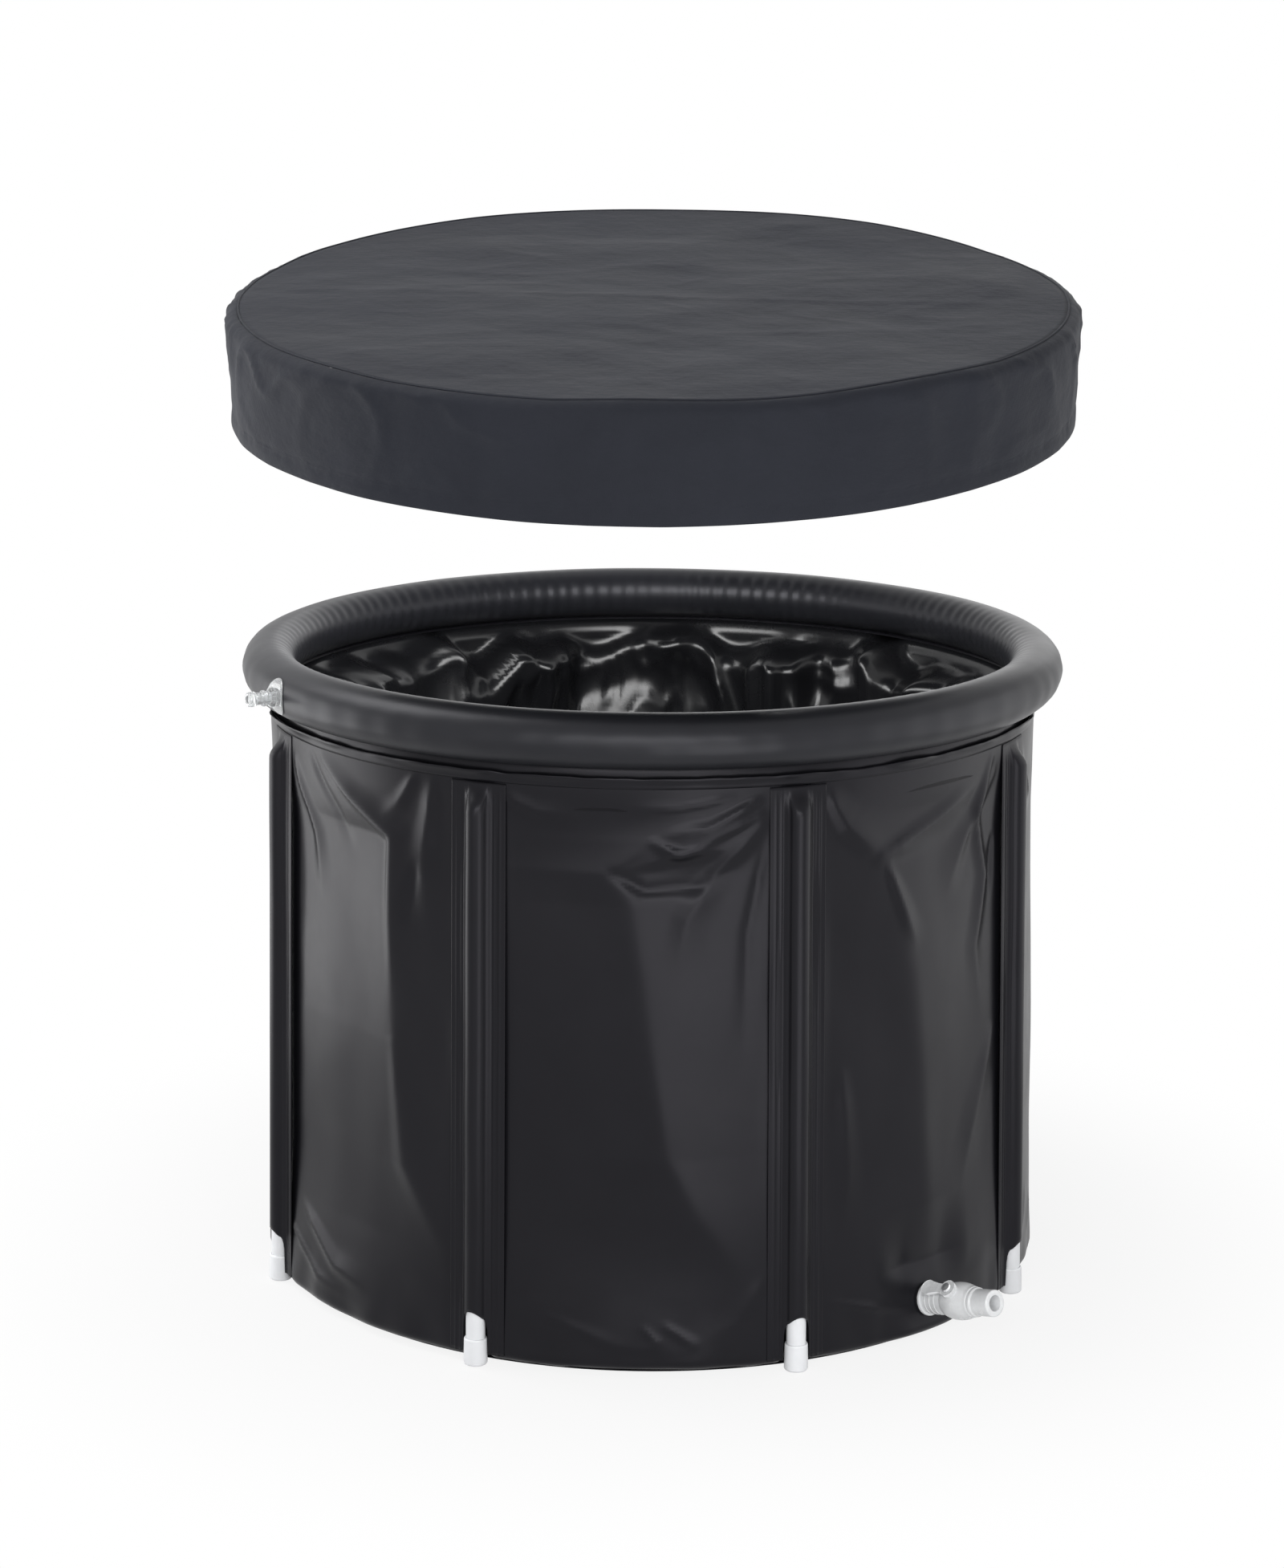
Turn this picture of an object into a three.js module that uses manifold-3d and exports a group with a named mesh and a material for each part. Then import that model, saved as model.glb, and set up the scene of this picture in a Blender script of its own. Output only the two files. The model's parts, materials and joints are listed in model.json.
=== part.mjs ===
// A portable cold plunge tub: a soft round shell held up by eight poles in sleeves, with an inflated rim,
// a ball valve drain and a lift-off cloth cover. Millimetres, +Z up, origin on the floor under the centre.
// The front panel faces -Y. Azimuths turn from -Y towards +X.
import * as THREE from "three";
import { mergeVertices } from "three/addons/utils/BufferGeometryUtils.js";
import Module from "manifold-3d";

const wasm = await Module();
wasm.setup();

// Driving dimensions of the shell
const wallBottomRadius = 464;
const wallTopRadius = 451;
const wallTop = 672;
const sheet = 1.2;
const foam = 5;
const fit = 0.3;
const bottomCurve = 12;
const weldLap = 22;
const baseInset = 5;
const baseFoamGap = 3;
const foamStop = 4;

// Driving dimensions of the poles, their feet and sleeves
const poleCount = 8;
const firstPole = -67.5;
const poleRadius = 11;
const poleWall = 2;
const poleDrop = 37;
const poleOutset = 3;
const footRadius = 13.5;
const footHeight = 31;
const footFloor = 3.2;
const footLift = 0.4;
const footBevel = 1.5;
const footDraft = 0.4;
const grooveHalf = 24;
const grooveRoom = 3.5;
const grooveRise = 10;
const sleeveWeld = 9;
const sleeveBottom = 16;
const archHeight = 65;
const archHalf = 15;
const archRise = 24;

// Driving dimensions of the inflated rim and its air valve
const rimOutset = 1;
const rimTube = 31.5;
const rimRise = 15;
const rimSkin = 1;
const airValveAzimuth = -59.3;
const airFlangeRadius = 21;
const airStemRadius = 8;
const airStemBore = 4.6;
const airStemLength = 24;
const airStemRoot = 3;
const airFlangeThick = 1.5;
const airWeld = 0.5;
const airSkirtOut = 4;
const airSkirtTop = 6;
const airNeckTop = 8;
const airRibOut = 1.4;
const airRibLow = 12;
const airRibHigh = 16;
const airChamfer = 1;
const airPlugCap = 8.5;
const airPlugInset = 6;
const airPlugRim = 7;
const airPlugHeight = 9;
const airPlugBevel = 1.5;
const airPlugLip = 4;

// Driving dimensions of the drain
const drainAzimuth = 45;
const drainHeight = 46;
const drainDip = 12;
const drainRoll = 45;
const patchHalf = 3.5;
const patchEnd = 9.6;
const dipFade = 70;
const drainLength = 106;
const drainBore = 9;
const threadRadius = 13;
const drainFlangeRadius = 19;
const flangeThick = 4;
const socketDepth = 18;
const collarWall = 3.5;
const collarDrop = 4;
const collarLip = 1;
const washer = 2;
const washerTrim = 0.5;
const nutThick = 8;
const nutGrow = 2;
const threadSpare = 5;

// Driving dimensions of the ball valve and its lever
const ballRadius = 12.5;
const ballPlace = 54;
const ballBoreTrim = 0.4;
const ballClear = 0.9;
const seatDepth = 2.4;
const slotDepth = 2.4;
const slotWidth = 4.6;
const tongueLength = 7;
const housingRadius = 21.5;
const crownHalf = 20;
const crownCurve = 0.62;
const bossRadius = 9;
const bossSink = 2;
const bossRise = 1;
const stemHole = 5.2;
const stemRadius = 4.6;
const ringTube = 0.8;
const ringPlace = 17.4;
const ringGroove = 1.6;
const spoutRadius = 15.2;
const spoutPlug = 7;
const spoutLip = 1.6;
const spoutLipEnd = 4;
const spoutNeck = 6;
const spoutBevel = 1;
const leverLength = 30;
const leverThick = 6;
const leverHub = 10;
const leverLobe = 9;
const leverWaist = 5.5;
const screwHole = 1.8;
const screwHoleDepth = 7;
const screwRadius = 1.5;
const screwLength = 6;
const screwHeadRadius = 6;
const screwHeadBevel = 0.8;
const screwHeadSide = 2;
const screwHeadTop = 2.6;

// Driving dimensions of the cover and of how it hovers
const coverClear = 4;
const coverSkirt = 128;
const coverShoulder = 12;
const hemCord = 2;
const coverTilt = 7.35;
const coverSwing = 3090;
const coverPivotDrop = 30;

// Facet counts
const roundFacets = 40;
const tubeFacets = 12;
const smallFacets = 16;

// Values worked out from the driving dimensions
const rad = THREE.MathUtils.degToRad;
const wallTaper = (wallBottomRadius - wallTopRadius) / wallTop;
const lean = Math.atan(wallTaper);
const foamInset = sheet + fit;
const linerInset = foamInset + foam + fit;
const laminate = linerInset + sheet;
const grooveDepth = footRadius - poleOutset + grooveRoom;
const poleTop = wallTop - poleDrop;
const grooveTop = poleTop + grooveRise;
const rimRadius = wallTopRadius + rimOutset;
const rimTop = wallTop + rimRise + 2 * rimTube;
const rimHeight = rimTop - rimTube;
const dipLow = sheet + fit + bottomCurve;
const dipHigh = 2 * drainHeight;
const dipEnd = dipHigh + dipFade;

const material = {
  wall: new THREE.MeshStandardMaterial({ color: "#17181a", roughness: 0.38, metalness: 0 }),
  liner: new THREE.MeshStandardMaterial({ color: "#0e0f11", roughness: 0.22, metalness: 0 }),
  foam: new THREE.MeshStandardMaterial({ color: "#d9d9d6", roughness: 0.95, metalness: 0 }),
  rim: new THREE.MeshStandardMaterial({ color: "#2b2c2f", roughness: 0.45, metalness: 0 }),
  pipe: new THREE.MeshStandardMaterial({ color: "#f1f1ee", roughness: 0.4, metalness: 0 }),
  valve: new THREE.MeshStandardMaterial({ color: "#eceeec", roughness: 0.3, metalness: 0 }),
  rubber: new THREE.MeshStandardMaterial({ color: "#202022", roughness: 0.7, metalness: 0 }),
  seat: new THREE.MeshStandardMaterial({ color: "#f7f7f4", roughness: 0.35, metalness: 0 }),
  steel: new THREE.MeshStandardMaterial({ color: "#b9bcbf", roughness: 0.3, metalness: 1 }),
  clear: new THREE.MeshStandardMaterial({ color: "#dfe3e4", roughness: 0.2, metalness: 0 }),
  cloth: new THREE.MeshStandardMaterial({ color: "#1b1c1e", roughness: 0.85, metalness: 0 }),
};

const tub = new THREE.Group();

function addMesh(parent, name, geometry, look) {
  const mesh = new THREE.Mesh(geometry, look);
  mesh.name = name;
  parent.add(mesh);
  return mesh;
}

// Closed solids joined and cut as meshes with shared vertices
function toSolid(geometry) {
  const bare = new THREE.BufferGeometry();
  bare.setAttribute("position", geometry.attributes.position);
  bare.setIndex(geometry.index);
  const welded = mergeVertices(bare, 1e-4);
  const corners = [];
  for (let i = 0; i < welded.index.count; i += 3) {
    const [a, b, c] = [0, 1, 2].map((k) => welded.index.getX(i + k));
    if (a !== b && b !== c && c !== a) {
      corners.push(a, b, c);
    }
  }
  const vertProperties = new Float32Array(welded.attributes.position.array);
  return new wasm.Manifold(new wasm.Mesh({ numProp: 3, vertProperties, triVerts: new Uint32Array(corners) }));
}

function toGeometry(solid) {
  const mesh = solid.getMesh();
  const geometry = new THREE.BufferGeometry();
  geometry.setAttribute("position", new THREE.BufferAttribute(mesh.vertProperties, 3));
  geometry.setIndex(new THREE.BufferAttribute(mesh.triVerts, 1));
  return geometry;
}

function join(...geometries) {
  return toGeometry(geometries.map(toSolid).reduce((whole, next) => whole.add(next)));
}

function cut(geometry, ...tools) {
  return toGeometry(tools.map(toSolid).reduce((whole, next) => whole.subtract(next), toSolid(geometry)));
}

// A ring or disc turned about Y from corners [radius, height]; a ring's outline closes on itself
function turned(corners, facets) {
  const points = corners.map(([radius, height]) => new THREE.Vector2(radius, height));
  const turnsInto = THREE.ShapeUtils.area(points) > 0 ? points : points.reverse();
  if (turnsInto.every((point) => point.x > 0)) {
    turnsInto.push(turnsInto[0].clone());
  } else {
    while (turnsInto[0].x > 0 || turnsInto[turnsInto.length - 1].x > 0) {
      turnsInto.push(turnsInto.shift());
    }
  }
  return toGeometry(toSolid(new THREE.LatheGeometry(turnsInto, facets)));
}

function standing(corners, facets) {
  return turned(corners, facets).rotateX(Math.PI / 2);
}

// A rod along Y between two heights, and one along Z
function rodY(radius, low, high, facets = smallFacets) {
  return new THREE.CylinderGeometry(radius, radius, high - low, facets).translate(0, (low + high) / 2, 0);
}

function rodZ(radius, low, high, facets = smallFacets) {
  return rodY(radius, low, high, facets).rotateX(Math.PI / 2);
}

function boxZ(width, depth, low, high) {
  return new THREE.BoxGeometry(width, depth, high - low).translate(0, 0, (low + high) / 2);
}

// A frame that stands at an azimuth, with +Y pointing out from the tub's axis
function radialFrame(azimuth, radius, height, tiltUp) {
  const turn = new THREE.Group();
  turn.rotation.z = Math.PI + rad(azimuth);
  const frame = new THREE.Group();
  frame.position.set(0, radius, height);
  frame.rotation.x = tiltUp;
  turn.add(frame);
  tub.add(turn);
  turn.updateWorldMatrix(true, true);
  return frame;
}

// The wall in plan: round panels, a groove behind each pole, and a flat patch that tips up at the drain
const poleAzimuths = Array.from({ length: poleCount }, (_, k) => firstPole + (k * 360) / poleCount);
const panelStep = 360 / poleCount;
const grooveAngle = THREE.MathUtils.radToDeg(grooveHalf / wallBottomRadius);
const columnOffsets = [-grooveAngle, 0, grooveAngle];
const panelOffsets = [-patchEnd, 0, patchEnd].map((part) => panelStep / 2 + part);
const patchOffsets = [-patchEnd, -patchHalf, patchHalf, patchEnd].map((part) => panelStep / 2 + part);
const columnAzimuths = poleAzimuths.flatMap((pole) => {
  const beside = Math.abs(pole + panelStep / 2 - drainAzimuth) < 1e-6 ? patchOffsets : panelOffsets;
  return [...columnOffsets, ...beside].map((offset) => pole + offset);
});

function ramp(value, from, to) {
  return THREE.MathUtils.clamp((value - from) / (to - from), 0, 1);
}

function drainDish(azimuth, height) {
  const across = 1 - ramp(Math.abs(azimuth - drainAzimuth), patchHalf, patchEnd);
  const slope = Math.tan(rad(drainDip));
  const low = slope * (drainHeight - dipLow) * ramp(height, dipLow / 3, dipLow);
  const middle = slope * (drainHeight - THREE.MathUtils.clamp(height, dipLow, dipHigh));
  const high = slope * (drainHeight - dipHigh) * (1 - ramp(height, dipHigh, dipEnd));
  if (height < dipLow) {
    return across * low;
  }
  return across * (height > dipHigh ? high : middle);
}

function wallRadius(azimuth, height) {
  const nearest = Math.min(...poleAzimuths.map((pole) => Math.abs(azimuth - pole)));
  const inGroove = Math.max(0, 1 - nearest / grooveAngle);
  const groove = grooveDepth * inGroove * (1 - ramp(height, grooveTop, wallTop));
  return wallBottomRadius - wallTaper * height - groove + drainDish(azimuth, height);
}

// A sheet that follows the wall: corners [inset, height] go up the outside and down the inside, and every
// facet is split along the same rising diagonal, so that sheets nest without touching
function wallSheet(corners) {
  const places = columnAzimuths.flatMap((azimuth) =>
    corners.flatMap(([inset, height]) => {
      const radius = inset === null ? 0 : wallRadius(azimuth, height) - inset;
      return [radius * Math.sin(rad(azimuth)), -radius * Math.cos(rad(azimuth)), height];
    }),
  );
  const index = [];
  columnAzimuths.forEach((_, column) => {
    const here = column * corners.length;
    const next = ((column + 1) % columnAzimuths.length) * corners.length;
    for (let j = 0; j + 1 < corners.length; j += 1) {
      const [a, b, c, d] = [here + j, next + j, next + j + 1, here + j + 1];
      const rises = corners[j + 1][1] >= corners[j][1];
      index.push(...(rises ? [a, b, c, a, c, d] : [a, b, d, b, c, d]));
    }
  });
  const geometry = new THREE.BufferGeometry();
  geometry.setAttribute("position", new THREE.Float32BufferAttribute(places, 3));
  geometry.setIndex(index);
  return toGeometry(toSolid(geometry));
}

function closed(corners) {
  return [...corners, corners[0]];
}

function upThenDown(outside, thickness) {
  const inside = outside.map(([inset, height]) => [inset + thickness, height]).reverse();
  return closed([...outside, ...inside]);
}

const drainTilt = Math.atan((wallTaper + Math.tan(rad(drainDip))) * Math.cos(rad(patchHalf)));
const drainFace = (wallBottomRadius - wallTaper * drainHeight) * Math.cos(rad(patchHalf));
const drain = radialFrame(drainAzimuth, drainFace, drainHeight, drainTilt);
const drainHole = rodY(threadRadius + fit, -3 * laminate, 3 * laminate).applyMatrix4(drain.matrixWorld);

// Base: the outer bottom sheet and the foam under the liner
const baseTop = sheet;
const lapLow = baseTop + fit;
const baseRadius = wallBottomRadius - bottomCurve - baseInset;
const baseFoamRadius = wallBottomRadius - bottomCurve - weldLap - grooveDepth - baseFoamGap;
const baseFoamTop = lapLow + foam;
const linerFloor = baseFoamTop + fit;

function disc(radius, low, high) {
  return standing([[0, low], [radius, low], [radius, high], [0, high]], roundFacets);
}

addMesh(tub, "base_panel", disc(baseRadius, 0, baseTop), material.wall);
addMesh(tub, "base_insulation", disc(baseFoamRadius, lapLow, baseFoamTop), material.foam);

// Outer wall, turned under on to the base panel with a rounded edge
function curveCorner(radius, part) {
  const turn = (part * Math.PI) / 2;
  return [bottomCurve - radius * Math.sin(turn), dipLow - radius * Math.cos(turn)];
}

const wallRise = [dipHigh, dipEnd, grooveTop, wallTop];
const curveParts = [0, 0.5, 1];
const outerSide = [
  [bottomCurve + weldLap, lapLow],
  ...curveParts.map((part) => curveCorner(bottomCurve, part)),
  ...wallRise.map((height) => [0, height]),
];
const innerSide = [
  ...wallRise.map((height) => [sheet, height]).reverse(),
  ...curveParts.map((part) => curveCorner(bottomCurve - sheet, part)).reverse(),
  [bottomCurve + weldLap, lapLow + sheet],
];
addMesh(tub, "outer_wall", cut(wallSheet(closed([...outerSide, ...innerSide])), drainHole), material.wall);

// Foam in the wall
const foamHeights = [dipLow, dipHigh, dipEnd, grooveTop - foamStop];
const foamSide = foamHeights.map((height) => [foamInset, height]);
addMesh(tub, "wall_insulation", cut(wallSheet(upThenDown(foamSide, foam)), drainHole), material.foam);

// Inner liner, one bag with a floor
const linerSide = [
  [null, linerFloor],
  [linerInset + bottomCurve, linerFloor],
  [linerInset + bottomCurve / 4, linerFloor + bottomCurve / 4],
  [linerInset, dipLow],
  [linerInset, dipHigh],
  [linerInset, dipEnd],
  [linerInset, grooveTop],
  [2 * foamInset, wallTop],
];
const linerInside = [
  [2 * foamInset + sheet, wallTop],
  [laminate, grooveTop],
  [laminate, dipEnd],
  [laminate, dipHigh],
  [laminate, dipLow],
  [laminate + bottomCurve / 4, linerFloor + bottomCurve / 4 + sheet],
  [linerInset + bottomCurve, linerFloor + sheet],
  [null, linerFloor + sheet],
];
addMesh(tub, "inner_liner", cut(wallSheet([...linerSide, ...linerInside]), drainHole), material.liner);

// Rim band, welded between wall and liner, that carries the rim
const bandTop = rimTop - 2 * rimTube - fit;
const bandReach = wallBottomRadius - wallTaper * bandTop - rimRadius;
const bandSide = [
  [foamInset, grooveTop],
  [foamInset, wallTop],
  [bandReach, bandTop],
];
addMesh(tub, "rim_band", wallSheet(upThenDown(bandSide, sheet)), material.wall);

// Inflated rim, a hollow tube opened by the air valve's hole
function rimTorus(tube) {
  return new THREE.TorusGeometry(rimRadius, tube, tubeFacets, roundFacets).translate(0, 0, rimHeight);
}

const airValve = radialFrame(airValveAzimuth, rimRadius, rimHeight, 0);
const airFace = rimTube + fit;
const airRoot = rimTube - airStemRoot;
const airTip = rimTube + airStemLength;
const airHole = rodY(airStemRadius + 2 * fit, rimTube / 2, 2 * rimTube).applyMatrix4(airValve.matrixWorld);
addMesh(tub, "air_ring", cut(rimTorus(rimTube), rimTorus(rimTube - rimSkin), airHole), material.rim);

// Air valve: a flange that follows the rim, a ribbed stem through its hole and a plug
function airValveBody() {
  const skin = toSolid(cut(rimTorus(airFace + airFlangeThick), rimTorus(airFace)));
  const column = rodY(airFlangeRadius, rimTube / 2, 2 * rimTube, tubeFacets).applyMatrix4(airValve.matrixWorld);
  const flange = toGeometry(skin.intersect(toSolid(column)));
  const stem = turned(
    [
      [airStemBore, airRoot],
      [airStemRadius, airRoot],
      [airStemRadius, airFace + airWeld],
      [airStemRadius + airSkirtOut, airFace + airWeld],
      [airStemRadius + airSkirtOut - airChamfer, airFace + airSkirtTop],
      [airStemRadius, airFace + airNeckTop],
      [airStemRadius, airFace + airRibLow],
      [airStemRadius + airRibOut, airFace + airRibLow + airChamfer],
      [airStemRadius + airRibOut, airFace + airRibHigh - airChamfer],
      [airStemRadius - airChamfer, airFace + airRibHigh + airChamfer],
      [airStemRadius - airChamfer, airTip],
      [airStemBore, airTip],
    ],
    smallFacets,
  ).applyMatrix4(airValve.matrixWorld);
  const bore = rodY(airStemBore, airRoot - airChamfer, airTip + airChamfer).applyMatrix4(airValve.matrixWorld);
  return cut(join(flange, stem), bore);
}

addMesh(tub, "air_valve_body", airValveBody(), material.clear);
const plugShank = airStemBore - fit;
const plugFace = airTip + fit;
const airPlug = turned(
  [
    [0, airRoot + airPlugInset],
    [plugShank, airRoot + airPlugInset],
    [plugShank, plugFace],
    [airPlugCap, plugFace],
    [airPlugCap, plugFace + airPlugRim],
    [airPlugCap - airPlugBevel, plugFace + airPlugHeight],
    [airPlugCap - airPlugLip, plugFace + airPlugHeight],
    [airPlugCap - airPlugLip - airChamfer, plugFace + airPlugRim],
    [0, plugFace + airPlugRim],
  ],
  smallFacets,
);
addMesh(airValve, "air_valve_plug", airPlug, material.clear);

// Poles, feet and sleeves; each stands in a frame that leans with the wall
function poleGeometry() {
  const low = footFloor + fit;
  const bore = poleRadius - poleWall;
  return standing([[bore, low], [poleRadius, low], [poleRadius, poleTop], [bore, poleTop]], tubeFacets);
}

function footGeometry() {
  const socket = poleRadius + fit;
  return standing(
    [
      [0, 0],
      [footRadius - footBevel, 0],
      [footRadius, footBevel],
      [footRadius - footDraft, footHeight - footBevel],
      [footRadius - 3 * footDraft, footHeight],
      [socket, footHeight],
      [socket, footFloor],
      [0, footFloor],
    ],
    tubeFacets,
  );
}

// A tent over the pole in plan: flat welds on the wall and straight flanks that meet an arc round the pole
function tentShape(lift) {
  const arc = poleRadius + 2 * fit + lift;
  const foot = new THREE.Vector2(grooveHalf, lift + fit - poleOutset);
  const slant = Math.atan2(foot.y, foot.x) + Math.acos(arc / foot.length());
  const edge = grooveHalf + sleeveWeld;
  const drop = edge ** 2 / (2 * wallBottomRadius);
  const shape = new THREE.Shape();
  shape.moveTo(edge, foot.y - drop);
  shape.lineTo(foot.x, foot.y);
  shape.absarc(0, 0, arc, slant, Math.PI - slant, false);
  shape.lineTo(-foot.x, foot.y);
  shape.lineTo(-edge, foot.y - drop);
  return shape;
}

function closedTent(lift, low, high) {
  const shape = tentShape(lift);
  if (lift === 0) {
    shape.lineTo(-grooveHalf - sleeveWeld, -2 * poleRadius);
    shape.lineTo(grooveHalf + sleeveWeld, -2 * poleRadius);
  }
  shape.closePath();
  const solid = new THREE.ExtrudeGeometry(shape, { depth: high - low, bevelEnabled: false, curveSegments: 4 });
  return solid.translate(0, 0, low);
}

function indexed(geometry) {
  geometry.deleteAttribute("normal");
  geometry.deleteAttribute("uv");
  return mergeVertices(geometry, 1e-4);
}

function sleeveGeometry() {
  const over = indexed(closedTent(sheet, sleeveBottom, grooveTop));
  const under = indexed(closedTent(0, sleeveBottom - sheet, grooveTop - sheet));
  const arch = new THREE.Shape();
  const spring = archHeight - archRise;
  arch.moveTo(-archHalf, sleeveBottom - sheet);
  arch.lineTo(archHalf, sleeveBottom - sheet);
  arch.lineTo(archHalf, spring);
  arch.absellipse(0, spring, archHalf, archHeight - spring, 0, Math.PI, false);
  const notch = new THREE.ExtrudeGeometry(arch, { depth: 4 * poleRadius, bevelEnabled: false, curveSegments: 4 });
  return cut(over, under, indexed(notch.rotateX(Math.PI / 2).translate(0, 2 * poleRadius, 0)));
}

poleAzimuths.forEach((azimuth, k) => {
  const frame = radialFrame(azimuth, wallBottomRadius + poleOutset, footLift, lean);
  addMesh(frame, `foot_cap_${k + 1}`, footGeometry(), material.pipe);
  addMesh(frame, `pole_${k + 1}`, poleGeometry(), material.pipe);
  addMesh(frame, `pole_sleeve_${k + 1}`, sleeveGeometry(), material.wall);
});

// Drain fitting through the wall: bulkhead, two washers and a lock nut inside
const flangeLow = 2 * fit + washer;
const flangeHigh = flangeLow + flangeThick;
const collarLow = flangeHigh + fit;
const threadEnd = collarLow + socketDepth;
const innerWasher = -laminate - fit;
const nutHigh = innerWasher - washer - fit;
const nutLow = nutHigh - nutThick;
const threadStart = nutLow - threadSpare;
const threadHole = threadRadius + fit;

addMesh(
  drain,
  "drain_bulkhead",
  turned(
    [
      [drainBore, threadStart],
      [threadRadius, threadStart],
      [threadRadius, flangeLow],
      [drainFlangeRadius, flangeLow],
      [drainFlangeRadius, flangeHigh],
      [threadRadius, flangeHigh],
      [threadRadius, threadEnd],
      [drainBore, threadEnd],
    ],
    smallFacets,
  ),
  material.valve,
);

function washerGeometry(low) {
  const [inner, outer] = [threadHole, drainFlangeRadius - washerTrim];
  return turned([[inner, low], [outer, low], [outer, low + washer], [inner, low + washer]], smallFacets);
}

addMesh(drain, "drain_gasket_outer", washerGeometry(fit), material.rubber);
addMesh(drain, "drain_gasket_inner", washerGeometry(innerWasher - washer), material.rubber);
const nut = cut(rodY(drainFlangeRadius + nutGrow, nutLow, nutHigh, 6), rodY(threadHole, nutLow - fit, nutHigh + fit));
addMesh(drain, "drain_lock_nut", nut, material.valve);

// Ball valve: body, two seats, the spout that closes it, and the ball on its stem
const rolled = new THREE.Group();
rolled.rotation.y = rad(drainRoll);
drain.add(rolled);

const cavity = ballRadius + ballClear;
const seatOuter = cavity - fit;
const seatReach = ballRadius + seatDepth;
const cavityLow = ballPlace - seatReach - fit;
const seatHigh = ballPlace + seatReach;
const bodyEnd = seatHigh + spoutPlug;
const bossTop = housingRadius + bossRise;

function valveBody() {
  const collar = threadRadius + collarWall;
  const crown = [-0.9, -0.5, 0, 0.5, 0.9].map((part) => [
    housingRadius * Math.sqrt(1 - (crownCurve * part) ** 2),
    ballPlace + crownHalf * part,
  ]);
  const shell = turned(
    [
      [collar, collarLow],
      [collar, cavityLow - collarDrop],
      ...crown,
      [collar + collarLip, bodyEnd],
      [cavity, bodyEnd],
      [cavity, cavityLow],
      [drainBore, cavityLow],
      [drainBore, threadEnd + fit],
      [threadHole, threadEnd + fit],
      [threadHole, collarLow],
    ],
    smallFacets,
  );
  const boss = rodZ(bossRadius, cavity + bossSink, bossTop).translate(0, ballPlace, 0);
  const hole = rodZ(stemHole, 0, bossTop + bossRise).translate(0, ballPlace, 0);
  return cut(join(shell, boss), hole);
}

addMesh(rolled, "valve_body", valveBody(), material.valve);

function seatGeometry(direction) {
  const touch = (ballRadius + fit) * Math.SQRT2;
  const back = ballPlace + direction * seatReach;
  return turned(
    [
      [drainBore, back],
      [seatOuter, back],
      [seatOuter, ballPlace + direction * (touch - seatOuter)],
      [drainBore, ballPlace + direction * (touch - drainBore)],
    ],
    smallFacets,
  );
}

addMesh(rolled, "valve_seat_inlet", seatGeometry(-1), material.seat);
addMesh(rolled, "valve_seat_outlet", seatGeometry(1), material.seat);

addMesh(
  rolled,
  "valve_spout",
  turned(
    [
      [drainBore, seatHigh + fit],
      [seatOuter, seatHigh + fit],
      [seatOuter, bodyEnd + fit],
      [spoutRadius + spoutLip, bodyEnd + fit],
      [spoutRadius + spoutLip, bodyEnd + spoutLipEnd],
      [spoutRadius, bodyEnd + spoutNeck],
      [spoutRadius, drainLength - spoutBevel],
      [spoutRadius - spoutBevel, drainLength],
      [drainBore, drainLength],
    ],
    smallFacets,
  ),
  material.valve,
);

const turning = new THREE.Group();
turning.position.y = ballPlace;
rolled.add(turning);
const slotFloor = ballRadius - slotDepth;
const ballSolid = new THREE.SphereGeometry(ballRadius, smallFacets, 10);
const ballBore = rodY(drainBore - ballBoreTrim, -2 * ballRadius, 2 * ballRadius);
const ballSlot = boxZ(slotWidth, 2 * ballRadius, slotFloor, 2 * ballRadius);
addMesh(turning, "valve_ball", cut(ballSolid, ballBore, ballSlot), material.seat);

const stemTop = bossTop + fit + leverThick;
function stemGeometry() {
  const grooveLow = ringPlace - ringTube - fit;
  const grooveHigh = ringPlace + ringTube + fit;
  const shaft = standing(
    [
      [0, ballRadius + fit],
      [stemRadius, ballRadius + fit],
      [stemRadius, grooveLow],
      [stemRadius - ringGroove, grooveLow],
      [stemRadius - ringGroove, grooveHigh],
      [stemRadius, grooveHigh],
      [stemRadius, stemTop],
      [0, stemTop],
    ],
    tubeFacets,
  );
  const tongue = boxZ(slotWidth - 2 * fit, tongueLength, slotFloor + fit, ballRadius + slotDepth);
  return cut(join(shaft, tongue), rodZ(screwHole, stemTop - screwHoleDepth, stemTop + fit, 8));
}

addMesh(turning, "valve_stem", stemGeometry(), material.valve);
const oRing = new THREE.TorusGeometry((stemHole + stemRadius - ringGroove) / 2, ringTube, 6, tubeFacets);
addMesh(turning, "stem_o_ring", oRing.translate(0, 0, ringPlace), material.rubber);

// Lever: a hub over the stem, an arm along the pipe towards the wall and a round finger lobe
function handleGeometry() {
  const shape = new THREE.Shape();
  shape.absarc(0, 0, leverHub, rad(-60), rad(240), false);
  shape.lineTo(-leverWaist, -leverLength / 2);
  shape.absarc(0, -leverLength, leverLobe, rad(150), rad(390), false);
  shape.lineTo(leverWaist, -leverLength / 2);
  shape.closePath();
  const hole = new THREE.Path();
  hole.absarc(0, 0, stemRadius + fit, 0, 2 * Math.PI, true);
  shape.holes.push(hole);
  const solid = new THREE.ExtrudeGeometry(shape, { depth: leverThick, bevelEnabled: false, curveSegments: 8 });
  return indexed(solid.translate(0, 0, bossTop + fit));
}

addMesh(turning, "valve_handle", handleGeometry(), material.valve);
const screwHead = stemTop + fit;
const screw = standing(
  [
    [0, stemTop - screwLength],
    [screwRadius, stemTop - screwLength],
    [screwRadius, screwHead],
    [screwHeadRadius, screwHead],
    [screwHeadRadius - screwHeadBevel, screwHead + screwHeadSide],
    [0, screwHead + screwHeadTop],
  ],
  tubeFacets,
);
addMesh(turning, "handle_screw", screw, material.steel);

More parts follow.
